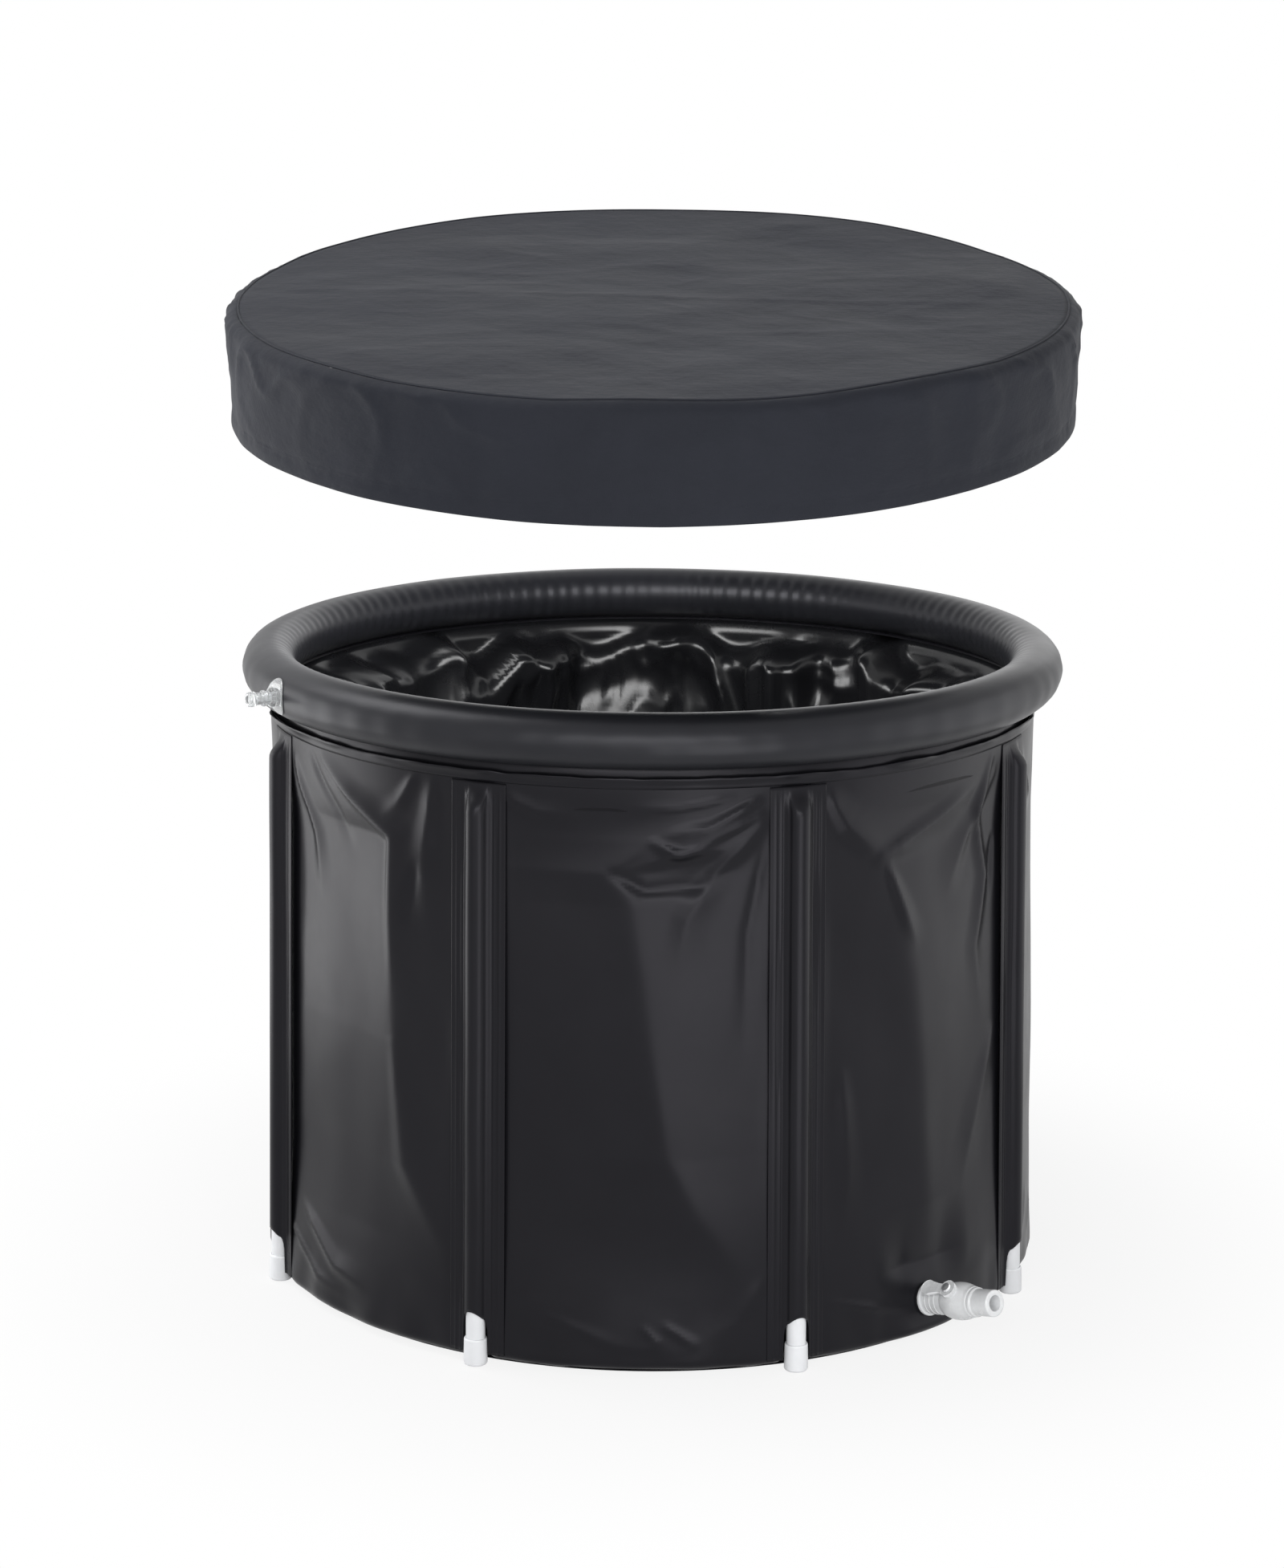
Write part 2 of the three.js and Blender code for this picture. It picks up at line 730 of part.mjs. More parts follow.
// Cover: top panel with a rounded shoulder, skirt and the elastic in its hem, swung up off the rim
const coverInner = rimRadius + rimTube + coverClear;
const coverOuter = coverInner + sheet;
const coverSeat = rimTop + fit;
const pivot = new THREE.Group();
pivot.position.set(0, -coverSwing, coverSeat - coverPivotDrop);
pivot.rotation.x = rad(coverTilt);
tub.add(pivot);
const cover = new THREE.Group();
cover.position.set(0, coverSwing, coverPivotDrop);
pivot.add(cover);

function shoulderCorner(radius, part) {
  const turn = (part * Math.PI) / 2;
  return [coverInner - coverShoulder + radius * Math.sin(turn), radius * Math.cos(turn) - coverShoulder];
}

const shoulderParts = [0, 1 / 3, 2 / 3, 1];
const seamRadius = coverInner - coverShoulder;
const panelRadius = seamRadius - fit;
const topPanel = [[0, 0], [panelRadius, 0], [panelRadius, sheet], [0, sheet]];
addMesh(cover, "cover_top", standing(topPanel, roundFacets), material.cloth);
const skirt = [
  [coverInner, -coverSkirt],
  [coverOuter, -coverSkirt],
  ...shoulderParts.map((part) => shoulderCorner(coverShoulder + sheet, part)).reverse(),
  ...shoulderParts.map((part) => shoulderCorner(coverShoulder, part)),
];
addMesh(cover, "cover_skirt", standing(skirt, roundFacets), material.cloth);
const cordRadius = coverInner - hemCord - fit;
const hem = new THREE.TorusGeometry(cordRadius, hemCord, 4, roundFacets).translate(0, 0, 2 * hemCord - coverSkirt);
addMesh(cover, "cover_hem_elastic", hem, material.rubber);

export default tub;
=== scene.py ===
import json
import math

import bmesh
import bpy
import numpy as np
from mathutils import Matrix, Vector, noise


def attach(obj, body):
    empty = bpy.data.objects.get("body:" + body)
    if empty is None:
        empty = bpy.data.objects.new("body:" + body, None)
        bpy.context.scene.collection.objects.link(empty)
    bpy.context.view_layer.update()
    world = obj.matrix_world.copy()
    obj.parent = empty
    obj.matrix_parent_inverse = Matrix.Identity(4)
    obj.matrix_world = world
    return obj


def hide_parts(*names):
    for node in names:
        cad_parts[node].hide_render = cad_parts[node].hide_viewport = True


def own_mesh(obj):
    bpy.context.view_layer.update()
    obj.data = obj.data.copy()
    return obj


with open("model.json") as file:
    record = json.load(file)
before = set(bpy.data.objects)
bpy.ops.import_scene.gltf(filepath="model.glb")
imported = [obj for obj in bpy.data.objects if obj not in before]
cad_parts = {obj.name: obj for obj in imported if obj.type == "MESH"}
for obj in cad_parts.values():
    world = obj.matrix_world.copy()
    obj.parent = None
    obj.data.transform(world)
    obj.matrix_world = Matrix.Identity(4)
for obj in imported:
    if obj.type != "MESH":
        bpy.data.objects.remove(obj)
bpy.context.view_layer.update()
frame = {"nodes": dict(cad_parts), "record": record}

mm = 0.001

# sizes shared with the solids, in millimetres and degrees
tub = {
    "bottomRadius": 464, "topRadius": 451, "wallTop": 672, "sheet": 1.2,
    "poles": 8, "firstPole": -67.5, "poleOutset": 3, "poleTop": 635,
    "grooveTop": 645, "grooveHalf": 24, "grooveDepth": 14,
    "rimRadius": 452, "rimTube": 31.5, "rimTop": 750,
}
taper = (tub["bottomRadius"] - tub["topRadius"]) / tub["wallTop"]
panelTurn = 360 / tub["poles"]  # degrees from pole to pole
wallMid = 458  # radius used to turn degrees into millimetres along the wall
degMm = math.radians(1) * wallMid


def stage(words):
    print("scene:", words)


# mesh helpers

def crossed(first, second):
    return np.meshgrid(first, second, indexing="ij")


def aroundTub(columns):
    return np.linspace(-90, 270, columns, endpoint=False)


def gridFaces(columns, rows, wrap=True):
    last = columns if wrap else columns - 1
    i, j = crossed(np.arange(last), np.arange(rows - 1))
    nxt = (i + 1) % columns
    quads = np.stack([i * rows + j, nxt * rows + j, nxt * rows + j + 1, i * rows + j + 1], axis=-1)
    return quads.reshape(-1, 4)


def tubeFaces(columns, sides):
    # a grid that also closes round the tube
    here = np.arange(columns) * sides
    there = np.roll(here, -1)
    seam = np.stack([here + sides - 1, there + sides - 1, there, here], axis=-1)
    return np.vstack([gridFaces(columns, sides), seam])


def discFaces(rings, spokes, upward):
    # a fan about the first point, then rings of quads
    faces = []
    for k in range(spokes):
        nxt = (k + 1) % spokes
        faces.append((0, 1 + k, 1 + nxt))
        for r in range(rings - 1):
            a, b = 1 + r * spokes, 1 + (r + 1) * spokes
            faces.append((a + k, b + k, b + nxt, a + nxt))
    return faces if upward else [(face[0], *face[:0:-1]) for face in faces]


def addObject(name, data):
    made = bpy.data.objects.new(name, data)
    bpy.context.scene.collection.objects.link(made)
    return made


def smoothShade(piece):
    piece.data.polygons.foreach_set("use_smooth", [True] * len(piece.data.polygons))


def claim(piece, body, nodes=()):
    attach(piece, body)
    if nodes:
        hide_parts(*nodes)


def makePiece(name, verts, faces, body, slot, nodes=()):
    mesh = bpy.data.meshes.new(name)
    mesh.from_pydata([tuple(v) for v in verts], [], [tuple(int(x) for x in f) for f in faces])
    mesh.validate()
    mesh.materials.append(finishes[slot])
    piece = addObject(name, mesh)
    smoothShade(piece)
    claim(piece, body, nodes)
    return piece


def applyModifiers(piece):
    graph = bpy.context.evaluated_depsgraph_get()
    graph.update()
    done = bpy.data.meshes.new_from_object(piece.evaluated_get(graph))
    old = piece.data
    piece.modifiers.clear()
    piece.data = done
    bpy.data.meshes.remove(old)


def thicken(piece, thickness, offset=-1):
    solid = piece.modifiers.new("sheet", "SOLIDIFY")
    solid.thickness = thickness * mm
    solid.offset = offset
    solid.use_even_offset = False
    applyModifiers(piece)


def tubSheet(name, places, faces, slot, nodes=(), thickness=tub["sheet"], offset=-1):
    piece = makePiece(name, np.reshape(places, (-1, 3)), faces, "tub", slot, nodes)
    thicken(piece, thickness, offset)


def rounded(corners, radius, steps=4, share=0.45, least=0.05):
    # corners of an outline softened by arcs, as a moulded edge is
    done = []
    for k, corner in enumerate(corners):
        here = Vector(corner)
        before = Vector(corners[k - 1]) - here
        after = Vector(corners[(k + 1) % len(corners)]) - here
        room = min(radius, share * before.length, share * after.length)
        if room < least:
            done.append(corner)
            continue
        start = here + before.normalized() * room
        stop = here + after.normalized() * room
        for s in range(steps + 1):
            t = s / steps
            done.append(tuple(start * (1 - t) ** 2 + here * 2 * t * (1 - t) + stop * t ** 2))
    return done


# a moulded piece turned about its own Y or Z: corners are (radius, height) in millimetres
def turnedPiece(name, corners, matrix, body, slot, nodes=(), segments=64, axis="y", soften=0.8):
    outline = rounded(corners, soften)
    outline.append(outline[0])
    places = []
    for k in range(segments):
        turn = 2 * math.pi * k / segments
        for radius, height in outline:
            a, b, along = radius * math.cos(turn) * mm, radius * math.sin(turn) * mm, height * mm
            places.append(matrix @ Vector((a, b, along) if axis == "z" else (b, along, a)))
    piece = makePiece(name, places, gridFaces(segments, len(outline)), body, slot, nodes)
    mergeClose(piece)
    return piece


def mergeClose(piece, gap=1e-6):
    mesh = bmesh.new()
    mesh.from_mesh(piece.data)
    bmesh.ops.remove_doubles(mesh, verts=mesh.verts, dist=gap)
    bmesh.ops.recalc_face_normals(mesh, faces=mesh.faces)
    mesh.to_mesh(piece.data)
    mesh.free()
    smoothShade(piece)


def radialMatrix(azimuth, radius, height, tilt=0.0):
    turn = Matrix.Rotation(math.pi + math.radians(azimuth), 4, "Z")
    place = Matrix.Translation((0, radius * mm, height * mm))
    return turn @ place @ Matrix.Rotation(tilt, 4, "X")


# shader helpers: a socket that adds its Math nodes as an expression is written

class Wire:
    def __init__(self, board, socket):
        self.board = board
        self.socket = socket

    def maths(self, operation, *values):
        return self.board.node("ShaderNodeMath", {"operation": operation}, values).out(0)

    def __add__(self, other):
        return self.maths("ADD", self, other)

    def __sub__(self, other):
        return self.maths("SUBTRACT", self, other)

    def __rsub__(self, other):
        return self.maths("SUBTRACT", other, self)

    def __mul__(self, other):
        return self.maths("MULTIPLY", self, other)

    __radd__ = __add__
    __rmul__ = __mul__

    def atLeast(self, other):
        return self.maths("MAXIMUM", self, other)

    def sine(self):
        return self.maths("SINE", self)

    def between(self, low, high):
        inputs = {"Value": self, "From Min": low, "From Max": high}
        return self.board.node("ShaderNodeMapRange", {"interpolation_type": "SMOOTHSTEP"}, inputs).out(0)


class NodeOut:
    def __init__(self, board, made):
        self.board = board
        self.made = made

    def out(self, key):
        return Wire(self.board, self.made.outputs[key])


class Board:
    def __init__(self, tree):
        self.tree = tree

    def node(self, kind, settings=None, inputs=None):
        made = self.tree.nodes.new(kind)
        for key, value in (settings or {}).items():
            if key == "stops":
                for element, (spot, colour) in zip(made.color_ramp.elements, value):
                    element.position = spot
                    element.color = (*colour, 1)
            else:
                setattr(made, key, value)
        pairs = inputs.items() if isinstance(inputs, dict) else enumerate(inputs or [])
        for key, value in pairs:
            if isinstance(value, Wire):
                self.tree.links.new(value.socket, made.inputs[key])
            else:
                made.inputs[key].default_value = value
        return NodeOut(self, made)

    def shownWhite(self):  # the rays that see the white studio: the camera's, gloss and clear plastic
        paths = self.node("ShaderNodeLightPath")
        shown = paths.out("Is Camera Ray").atLeast(paths.out("Is Glossy Ray"))
        return shown.atLeast(paths.out("Is Transmission Ray"))


class Look(Board):
    def __init__(self, name, **fixed):
        self.material = bpy.data.materials.new(name)
        self.material.use_nodes = True
        super().__init__(self.material.node_tree)
        self.surface = self.tree.nodes["Principled BSDF"]
        for key, value in fixed.items():
            self.surface.inputs[key.replace("_", " ")].default_value = value

    def place(self):
        return self.node("ShaderNodeTexCoord").out("Object")

    def axes(self):
        parts = self.node("ShaderNodeSeparateXYZ", inputs={"Vector": self.place()})
        return parts.out("X"), parts.out("Y"), parts.out("Z")

    def grain(self, scale, detail, rough, stretch=(1, 1, 1)):
        moved = self.node("ShaderNodeMapping", inputs={"Vector": self.place(), "Scale": stretch})
        inputs = {"Vector": moved.out("Vector"), "Scale": scale, "Detail": detail, "Roughness": rough}
        return self.node("ShaderNodeTexNoise", inputs=inputs).out("Fac")

    def mark(self, name):
        return self.node("ShaderNodeAttribute", {"attribute_name": name}).out("Fac")

    def set(self, **wires):
        for key, value in wires.items():
            self.tree.links.new(value.socket, self.surface.inputs[key.replace("_", " ")])

    def paint(self, factor, *stops):  # base colour from stops of (factor, colour)
        self.set(Base_Color=self.node("ShaderNodeValToRGB", {"stops": stops}, {"Fac": factor}).out("Color"))

    def bump(self, height, strength, distance):
        inputs = {"Height": height, "Strength": strength, "Distance": distance}
        self.set(Normal=self.node("ShaderNodeBump", inputs=inputs).out("Normal"))


# finishes: grains are noise scale per metre, detail and roughness of the noise

def wallFilm():
    look = Look("wallFilm", Specular_IOR_Level=0.17, Specular_Tint=(0.94, 0.92, 1.0, 1))
    blotch = look.grain(3.5, 4, 0.6)
    crinkle = look.grain(60, 4, 0.6)
    pebble = look.grain(900, 2, 0.5)
    look.paint(blotch, (0.3, (0.0050, 0.0049, 0.0062)), (0.75, (0.0076, 0.0075, 0.0094)))
    look.set(Roughness=blotch * 0.08 + crinkle * 0.06 + 0.26)
    look.bump(crinkle * 0.35 + pebble * 0.12, strength=0.22, distance=0.0010)
    return look.material


def linerFilm():
    look = Look("linerFilm", Specular_IOR_Level=0.42)
    blotch = look.grain(5, 4, 0.6)
    crinkle = look.grain(45, 3, 0.55)
    look.paint(blotch, (0.3, (0.0055, 0.0056, 0.0064)), (0.75, (0.0085, 0.0087, 0.0100)))
    look.set(Roughness=blotch * 0.10 + crinkle * 0.05 + 0.20)
    look.bump(crinkle, strength=0.14, distance=0.0012)
    return look.material


def rimFilm():
    look = Look("rimFilm", Specular_IOR_Level=0.25, Specular_Tint=(0.94, 0.94, 1.0, 1))
    blotch = look.grain(4, 4, 0.6)
    fine = look.grain(700, 2, 0.5)
    scuff = look.grain(30, 5, 0.65, stretch=(1, 1, 0.4))
    look.paint(blotch, (0.3, (0.0100, 0.0103, 0.0124)), (0.75, (0.0150, 0.0154, 0.0184)))
    look.set(Roughness=blotch * 0.10 + scuff * 0.10 + 0.29)
    look.bump(fine * 0.25 + scuff * 0.4, strength=0.22, distance=0.0008)
    return look.material


def coverCloth():
    look = Look("coverCloth", Specular_IOR_Level=0.09, Sheen_Weight=0.06, Sheen_Roughness=0.4)
    threads = 4200  # radians of weave per metre
    x, y, z = look.axes()
    weave = (x * threads).sine() * (y * threads).sine() + (z * threads).sine() * 0.5
    blotch = look.grain(6, 5, 0.65)
    crush = look.grain(38, 4, 0.6)
    drawn = look.grain(13, 4, 0.6, stretch=(1, 1, 1.8))
    stitch = look.mark("stitch")
    look.paint(blotch, (0.25, (0.0205, 0.0222, 0.0290)), (0.8, (0.0280, 0.0302, 0.0392)))
    look.set(Roughness=blotch * 0.12 + 0.62)
    look.bump(weave * 0.03 + crush * 0.5 + drawn * 2.2 + stitch * 0.4, strength=0.6, distance=0.0022)
    return look.material


def pipePlastic():
    look = Look("pipePlastic", Specular_IOR_Level=0.5)
    blotch = look.grain(30, 4, 0.6)
    scratch = look.grain(200, 3, 0.6, stretch=(1, 1, 0.05))
    look.paint(blotch, (0.3, (0.75, 0.76, 0.78)), (0.75, (0.82, 0.83, 0.85)))
    look.set(Roughness=scratch * 0.18 + 0.30)
    look.bump(scratch + blotch, strength=0.08, distance=0.0006)
    return look.material


def valvePlastic():
    look = Look("valvePlastic", Specular_IOR_Level=0.5, Subsurface_Weight=0.2, Subsurface_Scale=0.004,
                Subsurface_Radius=(1.0, 1.0, 1.0))
    blotch = look.grain(60, 4, 0.6)
    look.paint(blotch, (0.3, (0.68, 0.69, 0.70)), (0.75, (0.78, 0.79, 0.80)))
    look.set(Roughness=blotch * 0.15 + 0.18)
    look.bump(blotch, strength=0.10, distance=0.0006)
    return look.material


def clearPlastic():
    look = Look("clearPlastic", Transmission_Weight=0.8, IOR=1.46)
    cloud = look.grain(90, 3, 0.6)
    look.paint(cloud, (0.3, (0.80, 0.82, 0.83)), (0.75, (0.93, 0.94, 0.94)))
    look.set(Roughness=cloud * 0.12 + 0.06)
    look.bump(cloud, strength=0.15, distance=0.0008)
    return look.material


def rubberBlack():
    look = Look("rubberBlack", Specular_IOR_Level=0.4)
    dust = look.grain(120, 4, 0.6)
    look.paint(dust, (0.3, (0.010, 0.010, 0.011)), (0.8, (0.022, 0.022, 0.023)))
    look.set(Roughness=dust * 0.2 + 0.55)
    look.bump(dust, strength=0.2, distance=0.0004)
    return look.material


def sealPlastic():
    look = Look("sealPlastic", Specular_IOR_Level=0.5)
    blotch = look.grain(80, 3, 0.5)
    look.paint(blotch, (0.3, (0.82, 0.82, 0.80)), (0.8, (0.90, 0.90, 0.88)))
    look.set(Roughness=blotch * 0.1 + 0.28)
    return look.material


def screwSteel():
    look = Look("screwSteel", Metallic=1.0)
    brush = look.grain(900, 3, 0.6)
    look.paint(brush, (0.3, (0.66, 0.67, 0.68)), (0.8, (0.80, 0.81, 0.82)))
    look.set(Roughness=brush * 0.2 + 0.38)
    return look.material


def foamWhite():
    look = Look("foamWhite")
    inputs = {"Vector": look.place(), "Scale": 400.0}
    cells = look.node("ShaderNodeTexVoronoi", inputs=inputs).out("Distance")
    look.paint(cells, (0.0, (0.55, 0.55, 0.53)), (0.7, (0.76, 0.76, 0.74)))
    look.set(Roughness=cells * 0.1 + 0.85)
    look.bump(cells, strength=0.4, distance=0.0008)
    return look.material


finishes = {
    "wall": wallFilm(), "liner": linerFilm(), "rim": rimFilm(), "cloth": coverCloth(), "pipe": pipePlastic(),
    "valve": valvePlastic(), "clear": clearPlastic(), "rubber": rubberBlack(), "seat": sealPlastic(),
    "steel": screwSteel(), "foam": foamWhite(),
}
slotOf = {part["node"]: part["material_slot"] for part in frame["record"]["subparts"]}
for nodeName, nodeObject in frame["nodes"].items():
    nodeObject.data.materials.clear()
    nodeObject.data.materials.append(finishes[slotOf[nodeName]])
stage("finishes made")


# shapes used all over the tub: azimuths in degrees from the front, the rest in millimetres

def ramp(value, low, high):
    return np.clip((value - low) / (high - low), 0, 1)


def ease(t):
    return t * t * (3 - 2 * t)


def bell(value, at, wide):
    return np.exp(-((value - at) / wide) ** 2)


def roundIn(height, low, high, depth):
    # a quarter-round corner: the full depth at low, nothing from high upwards
    return depth * (1 - np.sqrt(1 - (1 - ramp(height, low, high)) ** 2))


def fromPolar(azimuth, radius, height):
    turn = np.radians(azimuth)
    return np.stack([radius * mm * np.sin(turn), -radius * mm * np.cos(turn), height * mm], axis=-1)


def plainRadius(height):
    return tub["bottomRadius"] - taper * height


def besidePole(azimuth):
    # how far along the wall the nearest pole is
    turned = (azimuth - tub["firstPole"] + panelTurn / 2) % panelTurn - panelTurn / 2
    return np.abs(turned) * degMm


def noiseField(x, y, z):
    out = np.empty(x.shape)
    flat = out.ravel()
    for k, spot in enumerate(zip(x.ravel(), y.ravel(), z.ravel())):
        flat[k] = noise.noise(Vector(spot))
    return out


def rumple(azimuth, height, scale, stretch, seed):
    # smooth seeded noise over the wall, stretched up and down
    turn, reach = np.radians(azimuth), wallMid * scale
    return noiseField(np.sin(turn) * reach, np.cos(turn) * reach, height * scale * stretch + seed)


def roundWave(azimuth, scale, seed):
    # the same noise taken once round the tub
    return rumple(azimuth, azimuth * 0, scale, 1, seed)


def layers(azimuth, height, sizes, shift=0):
    # several sizes of rumple together, each as scale, stretch, seed and depth
    return sum(depth * rumple(azimuth, height, scale, stretch, seed + shift)
               for scale, stretch, seed, depth in sizes)


drain = {
    "azimuth": 45, "height": 46, "dip": 12, "roll": 45, "length": 106, "patchHalf": 3.5, "patchEnd": 9.6,
    "dishLow": 13.5, "dishFade": 70, "clear": (26, 70),
}


def drainDish(azimuth, height):
    # the flat patch of wall that the drain is clamped to
    across = 1 - ramp(np.abs(azimuth - drain["azimuth"]), drain["patchHalf"], drain["patchEnd"])
    slope = math.tan(math.radians(drain["dip"]))
    low, high = drain["dishLow"], 2 * drain["height"]
    middle = slope * (drain["height"] - np.clip(height, low, high))
    above = 1 - ramp(height, high, high + drain["dishFade"])
    fade = np.where(height < low, ramp(height, low / 3, low), above)
    return ease(across) * middle * np.where((height < low) | (height > high), fade, 1)


def besideDrain(azimuth, height):
    # 1 at the drain, falling to 0 where the sheet is free to fold
    far = np.hypot((azimuth - drain["azimuth"]) * degMm, height - drain["height"])
    return 1 - ramp(far, *drain["clear"])


def groove(azimuth, height):
    # the wall steps in behind each pole
    along = np.clip(besidePole(azimuth) / tub["grooveHalf"], 0, 1)
    below = 1 - ramp(height, tub["grooveTop"], tub["wallTop"])
    return tub["grooveDepth"] * 0.5 * (1 + np.cos(math.pi * along)) * below


def wallRadius(azimuth, height):
    return plainRadius(height) - groove(azimuth, height) + drainDish(azimuth, height)


# a crease starts sharp and narrow, spreads along its line and dies away towards the end
crease = {"narrow": 0.8, "spread": 1.4, "start": 0.35, "grown": 0.15, "fades": 0.45, "round": 0.6}


def fold(azimuth, height, points, left, right, depth):
    u, v = azimuth * degMm, height
    best = np.full(u.shape, np.inf)
    side = np.ones(u.shape)
    share = np.zeros(u.shape)
    corners = [np.array([a * degMm, z]) for a, z in points]
    lengths = [np.linalg.norm(b - a) for a, b in zip(corners, corners[1:])]
    done = 0.0
    for start, stop, length in zip(corners, corners[1:], lengths):
        run = stop - start
        t = np.clip(((u - start[0]) * run[0] + (v - start[1]) * run[1]) / run.dot(run), 0, 1)
        du, dv = u - start[0] - t * run[0], v - start[1] - t * run[1]
        far = np.hypot(du, dv)
        nearer = far < best
        best = np.where(nearer, far, best)
        side = np.where(nearer, np.sign(run[0] * dv - run[1] * du), side)
        share = np.where(nearer, (done + t * length) / sum(lengths), share)
        done += length
    reach = np.where(side > 0, left, right) * (crease["narrow"] + crease["spread"] * share)
    grow = crease["start"] + (1 - crease["start"]) * ramp(share, 0, crease["grown"])
    fade = grow * (1 - ease(ramp(share, crease["fades"], 1)))
    close = np.clip(1 - best / reach, 0, 1)
    return depth * fade * close * close * (1 + crease["round"] - crease["round"] * close)


wall = {
    "columns": 720, "rows": 168, "hem": 4, "curve": 12, "relief": 7, "sink": 21, "flat": 0.85, "gain": 1.25,
    "held": (26, 44), "topSlack": (0, 120), "lowSlack": (10, 230), "topCrease": (2, 16),
    "lowCrease": (20, 30), "blur": 5, "facetReach": 23,
    "soft": ((0.0075, 0.6, 3.1, 3.2), (0.02, 0.6, 8.4, 0.9)),
    "tuckNoise": (0.018, 7.3), "tuckSwing": 1.6, "tuckStart": 0.3, "tuckMore": 0.4,
    "pucker": 3.4, "puckerNoise": (0.026, 0.55, 6.2), "puckerTop": (24, 90), "puckerRise": 10,
    # each panel hangs as two flat facets: the ridge between them as (height, azimuth) pairs
    "ridges": {
        0: [(90, -27), (124, -28), (214, -35), (351, -37.3), (489, -37.6), (585, -37), (615, -44),
            (640, -52)],
        1: [(60, 18), (120, 14), (180, 9), (250, 4.5), (429, 0.8), (536, -1), (571, -3.6), (607, 2.3),
            (640, 12)],
        2: [(60, 47), (176, 45), (300, 44), (435, 42), (484, 40.4), (576, 36), (620, 31)],
    },
    # the other panels take a ridge of the same kind by a seeded choice
    "ridgeSeed": 40, "ridgeShift": 7, "ridgeSway": 3.5, "ridgeHeights": (70, 200, 340, 480, 600, 640),
    # creases of the front panels: points as (azimuth, height), the falloff on each side and the depth
    "creases": [
        ([(-53, 655), (-45, 615), (-37.5, 585), (-37.6, 489), (-37.3, 351)], 26, 7, 3.0),
        ([(-37.3, 351), (-35, 214), (-28, 124)], 40, 16, 2.0),
        ([(-62, 640), (-57, 560), (-55.5, 480)], 14, 10, 3.0),
        ([(-56, 655), (-50, 600), (-46, 545)], 10, 12, -2.2),
        ([(-33, 660), (-36, 628), (-40, 606)], 12, 10, 3.2),
        ([(-30, 655), (-31, 600), (-32, 520)], 18, 18, 3.5),
        ([(-33, 560), (-34.5, 480)], 16, 12, -2.5),
        ([(-20, 655), (-14, 636), (-6, 632)], 12, 12, 2.0),
        ([(16.5, 650), (10, 622), (2.3, 607)], 13, 9, 5.0),
        ([(2.3, 607), (6, 592), (12, 600), (17, 612)], 9, 12, 4.2),
        ([(17, 634), (8, 600), (-3.6, 571)], 9, 13, 4.5),
        ([(-3.6, 571), (1, 552), (9, 556), (17, 590)], 14, 10, -3.8),
        ([(17.5, 628), (11, 570), (7, 520), (5, 440)], 20, 14, 3.6),
        ([(18, 600), (15.5, 500), (15, 330)], 12, 12, -2.0),
        ([(13, 655), (6, 645), (-4, 640)], 8, 8, 2.4),
        ([(26.5, 655), (30, 612), (36, 576)], 24, 12, 4.0),
        ([(36, 576), (47, 602), (60, 640)], 12, 26, 4.5),
        ([(37, 560), (40.4, 500), (43, 455)], 14, 9, 3.5),
        ([(61, 636), (55, 575), (49, 500)], 12, 20, 3.2),
        ([(60, 655), (57, 600), (59.5, 520), (57, 440), (60, 330)], 12, 14, 3.8),
        ([(62, 560), (61, 480)], 8, 10, -2.5),
        ([(30, 330), (31, 210), (30, 120)], 16, 18, 2.4),
        ([(62, 330), (56, 220), (52, 130)], 24, 20, 2.6),
        ([(-60, 110), (-50, 62), (-38, 44)], 16, 10, 3.0),
        ([(-66, 90), (-54, 40), (-44, 30)], 8, 8, 2.0),
        ([(-12, 64), (-2, 34), (8, 26)], 12, 9, 1.2),
        ([(4, 60), (8, 38), (6, 24)], 7, 7, 1.8),
        ([(1, 58), (3, 40), (1, 26)], 6, 6, 1.6),
        ([(18, 110), (14, 60), (8, 34)], 18, 16, 1.1),
        ([(28, 70), (38, 46), (50, 42), (60, 62)], 9, 8, 2.2),
    ],
    # ranges for a seeded choice of creases on the other panels, at the top corners and along the foot
    "creaseSeed": 11,
    "corner": {"sides": ((4, 1), (41, -1)), "count": 4, "shift": 1.5, "height": (628, 655), "reach": (6, 17),
               "drop": (35, 150), "bend": (0.5, 0.7), "falloff": (8, 22), "depth": (-2.5, 4.5)},
    "foot": {"count": 3, "start": (9, 36), "height": (60, 110), "step": 25, "end": 28, "sway": (4, 9),
             "falloff": (6, 14), "depth": (1.2, 2.6)},
}


def ridgeOf(panel):
    # where the ridge of a panel runs, as heights and azimuths
    if panel in wall["ridges"]:
        return zip(*wall["ridges"][panel])
    picker = np.random.default_rng(wall["ridgeSeed"] + panel)
    shift, sway, heights = wall["ridgeShift"], wall["ridgeSway"], wall["ridgeHeights"]
    middle = tub["firstPole"] + panelTurn * (panel + 0.5) + picker.uniform(-shift, shift)
    return heights, middle + np.cumsum(picker.uniform(-sway, sway, len(heights)))


def facetSag(azimuth, height):
    # how far two flat facets hang inside the round wall
    total = np.zeros(azimuth.shape)
    most = wall["facetReach"]
    for panel in range(tub["poles"]):
        start = tub["firstPole"] + panelTurn * panel
        turned = (azimuth - start) % 360
        ridge = np.interp(height, *ridgeOf(panel)) - start
        half = np.where(turned < ridge, ridge, panelTurn - ridge) / 2
        middle = np.where(turned < ridge, ridge / 2, (panelTurn + ridge) / 2)
        lean = np.radians(np.clip(turned - middle, -most, most))
        sag = wallMid * (1 - np.cos(np.radians(half)) / np.cos(lean))
        total += np.where(turned < panelTurn, np.maximum(sag, 0), 0)
    return total


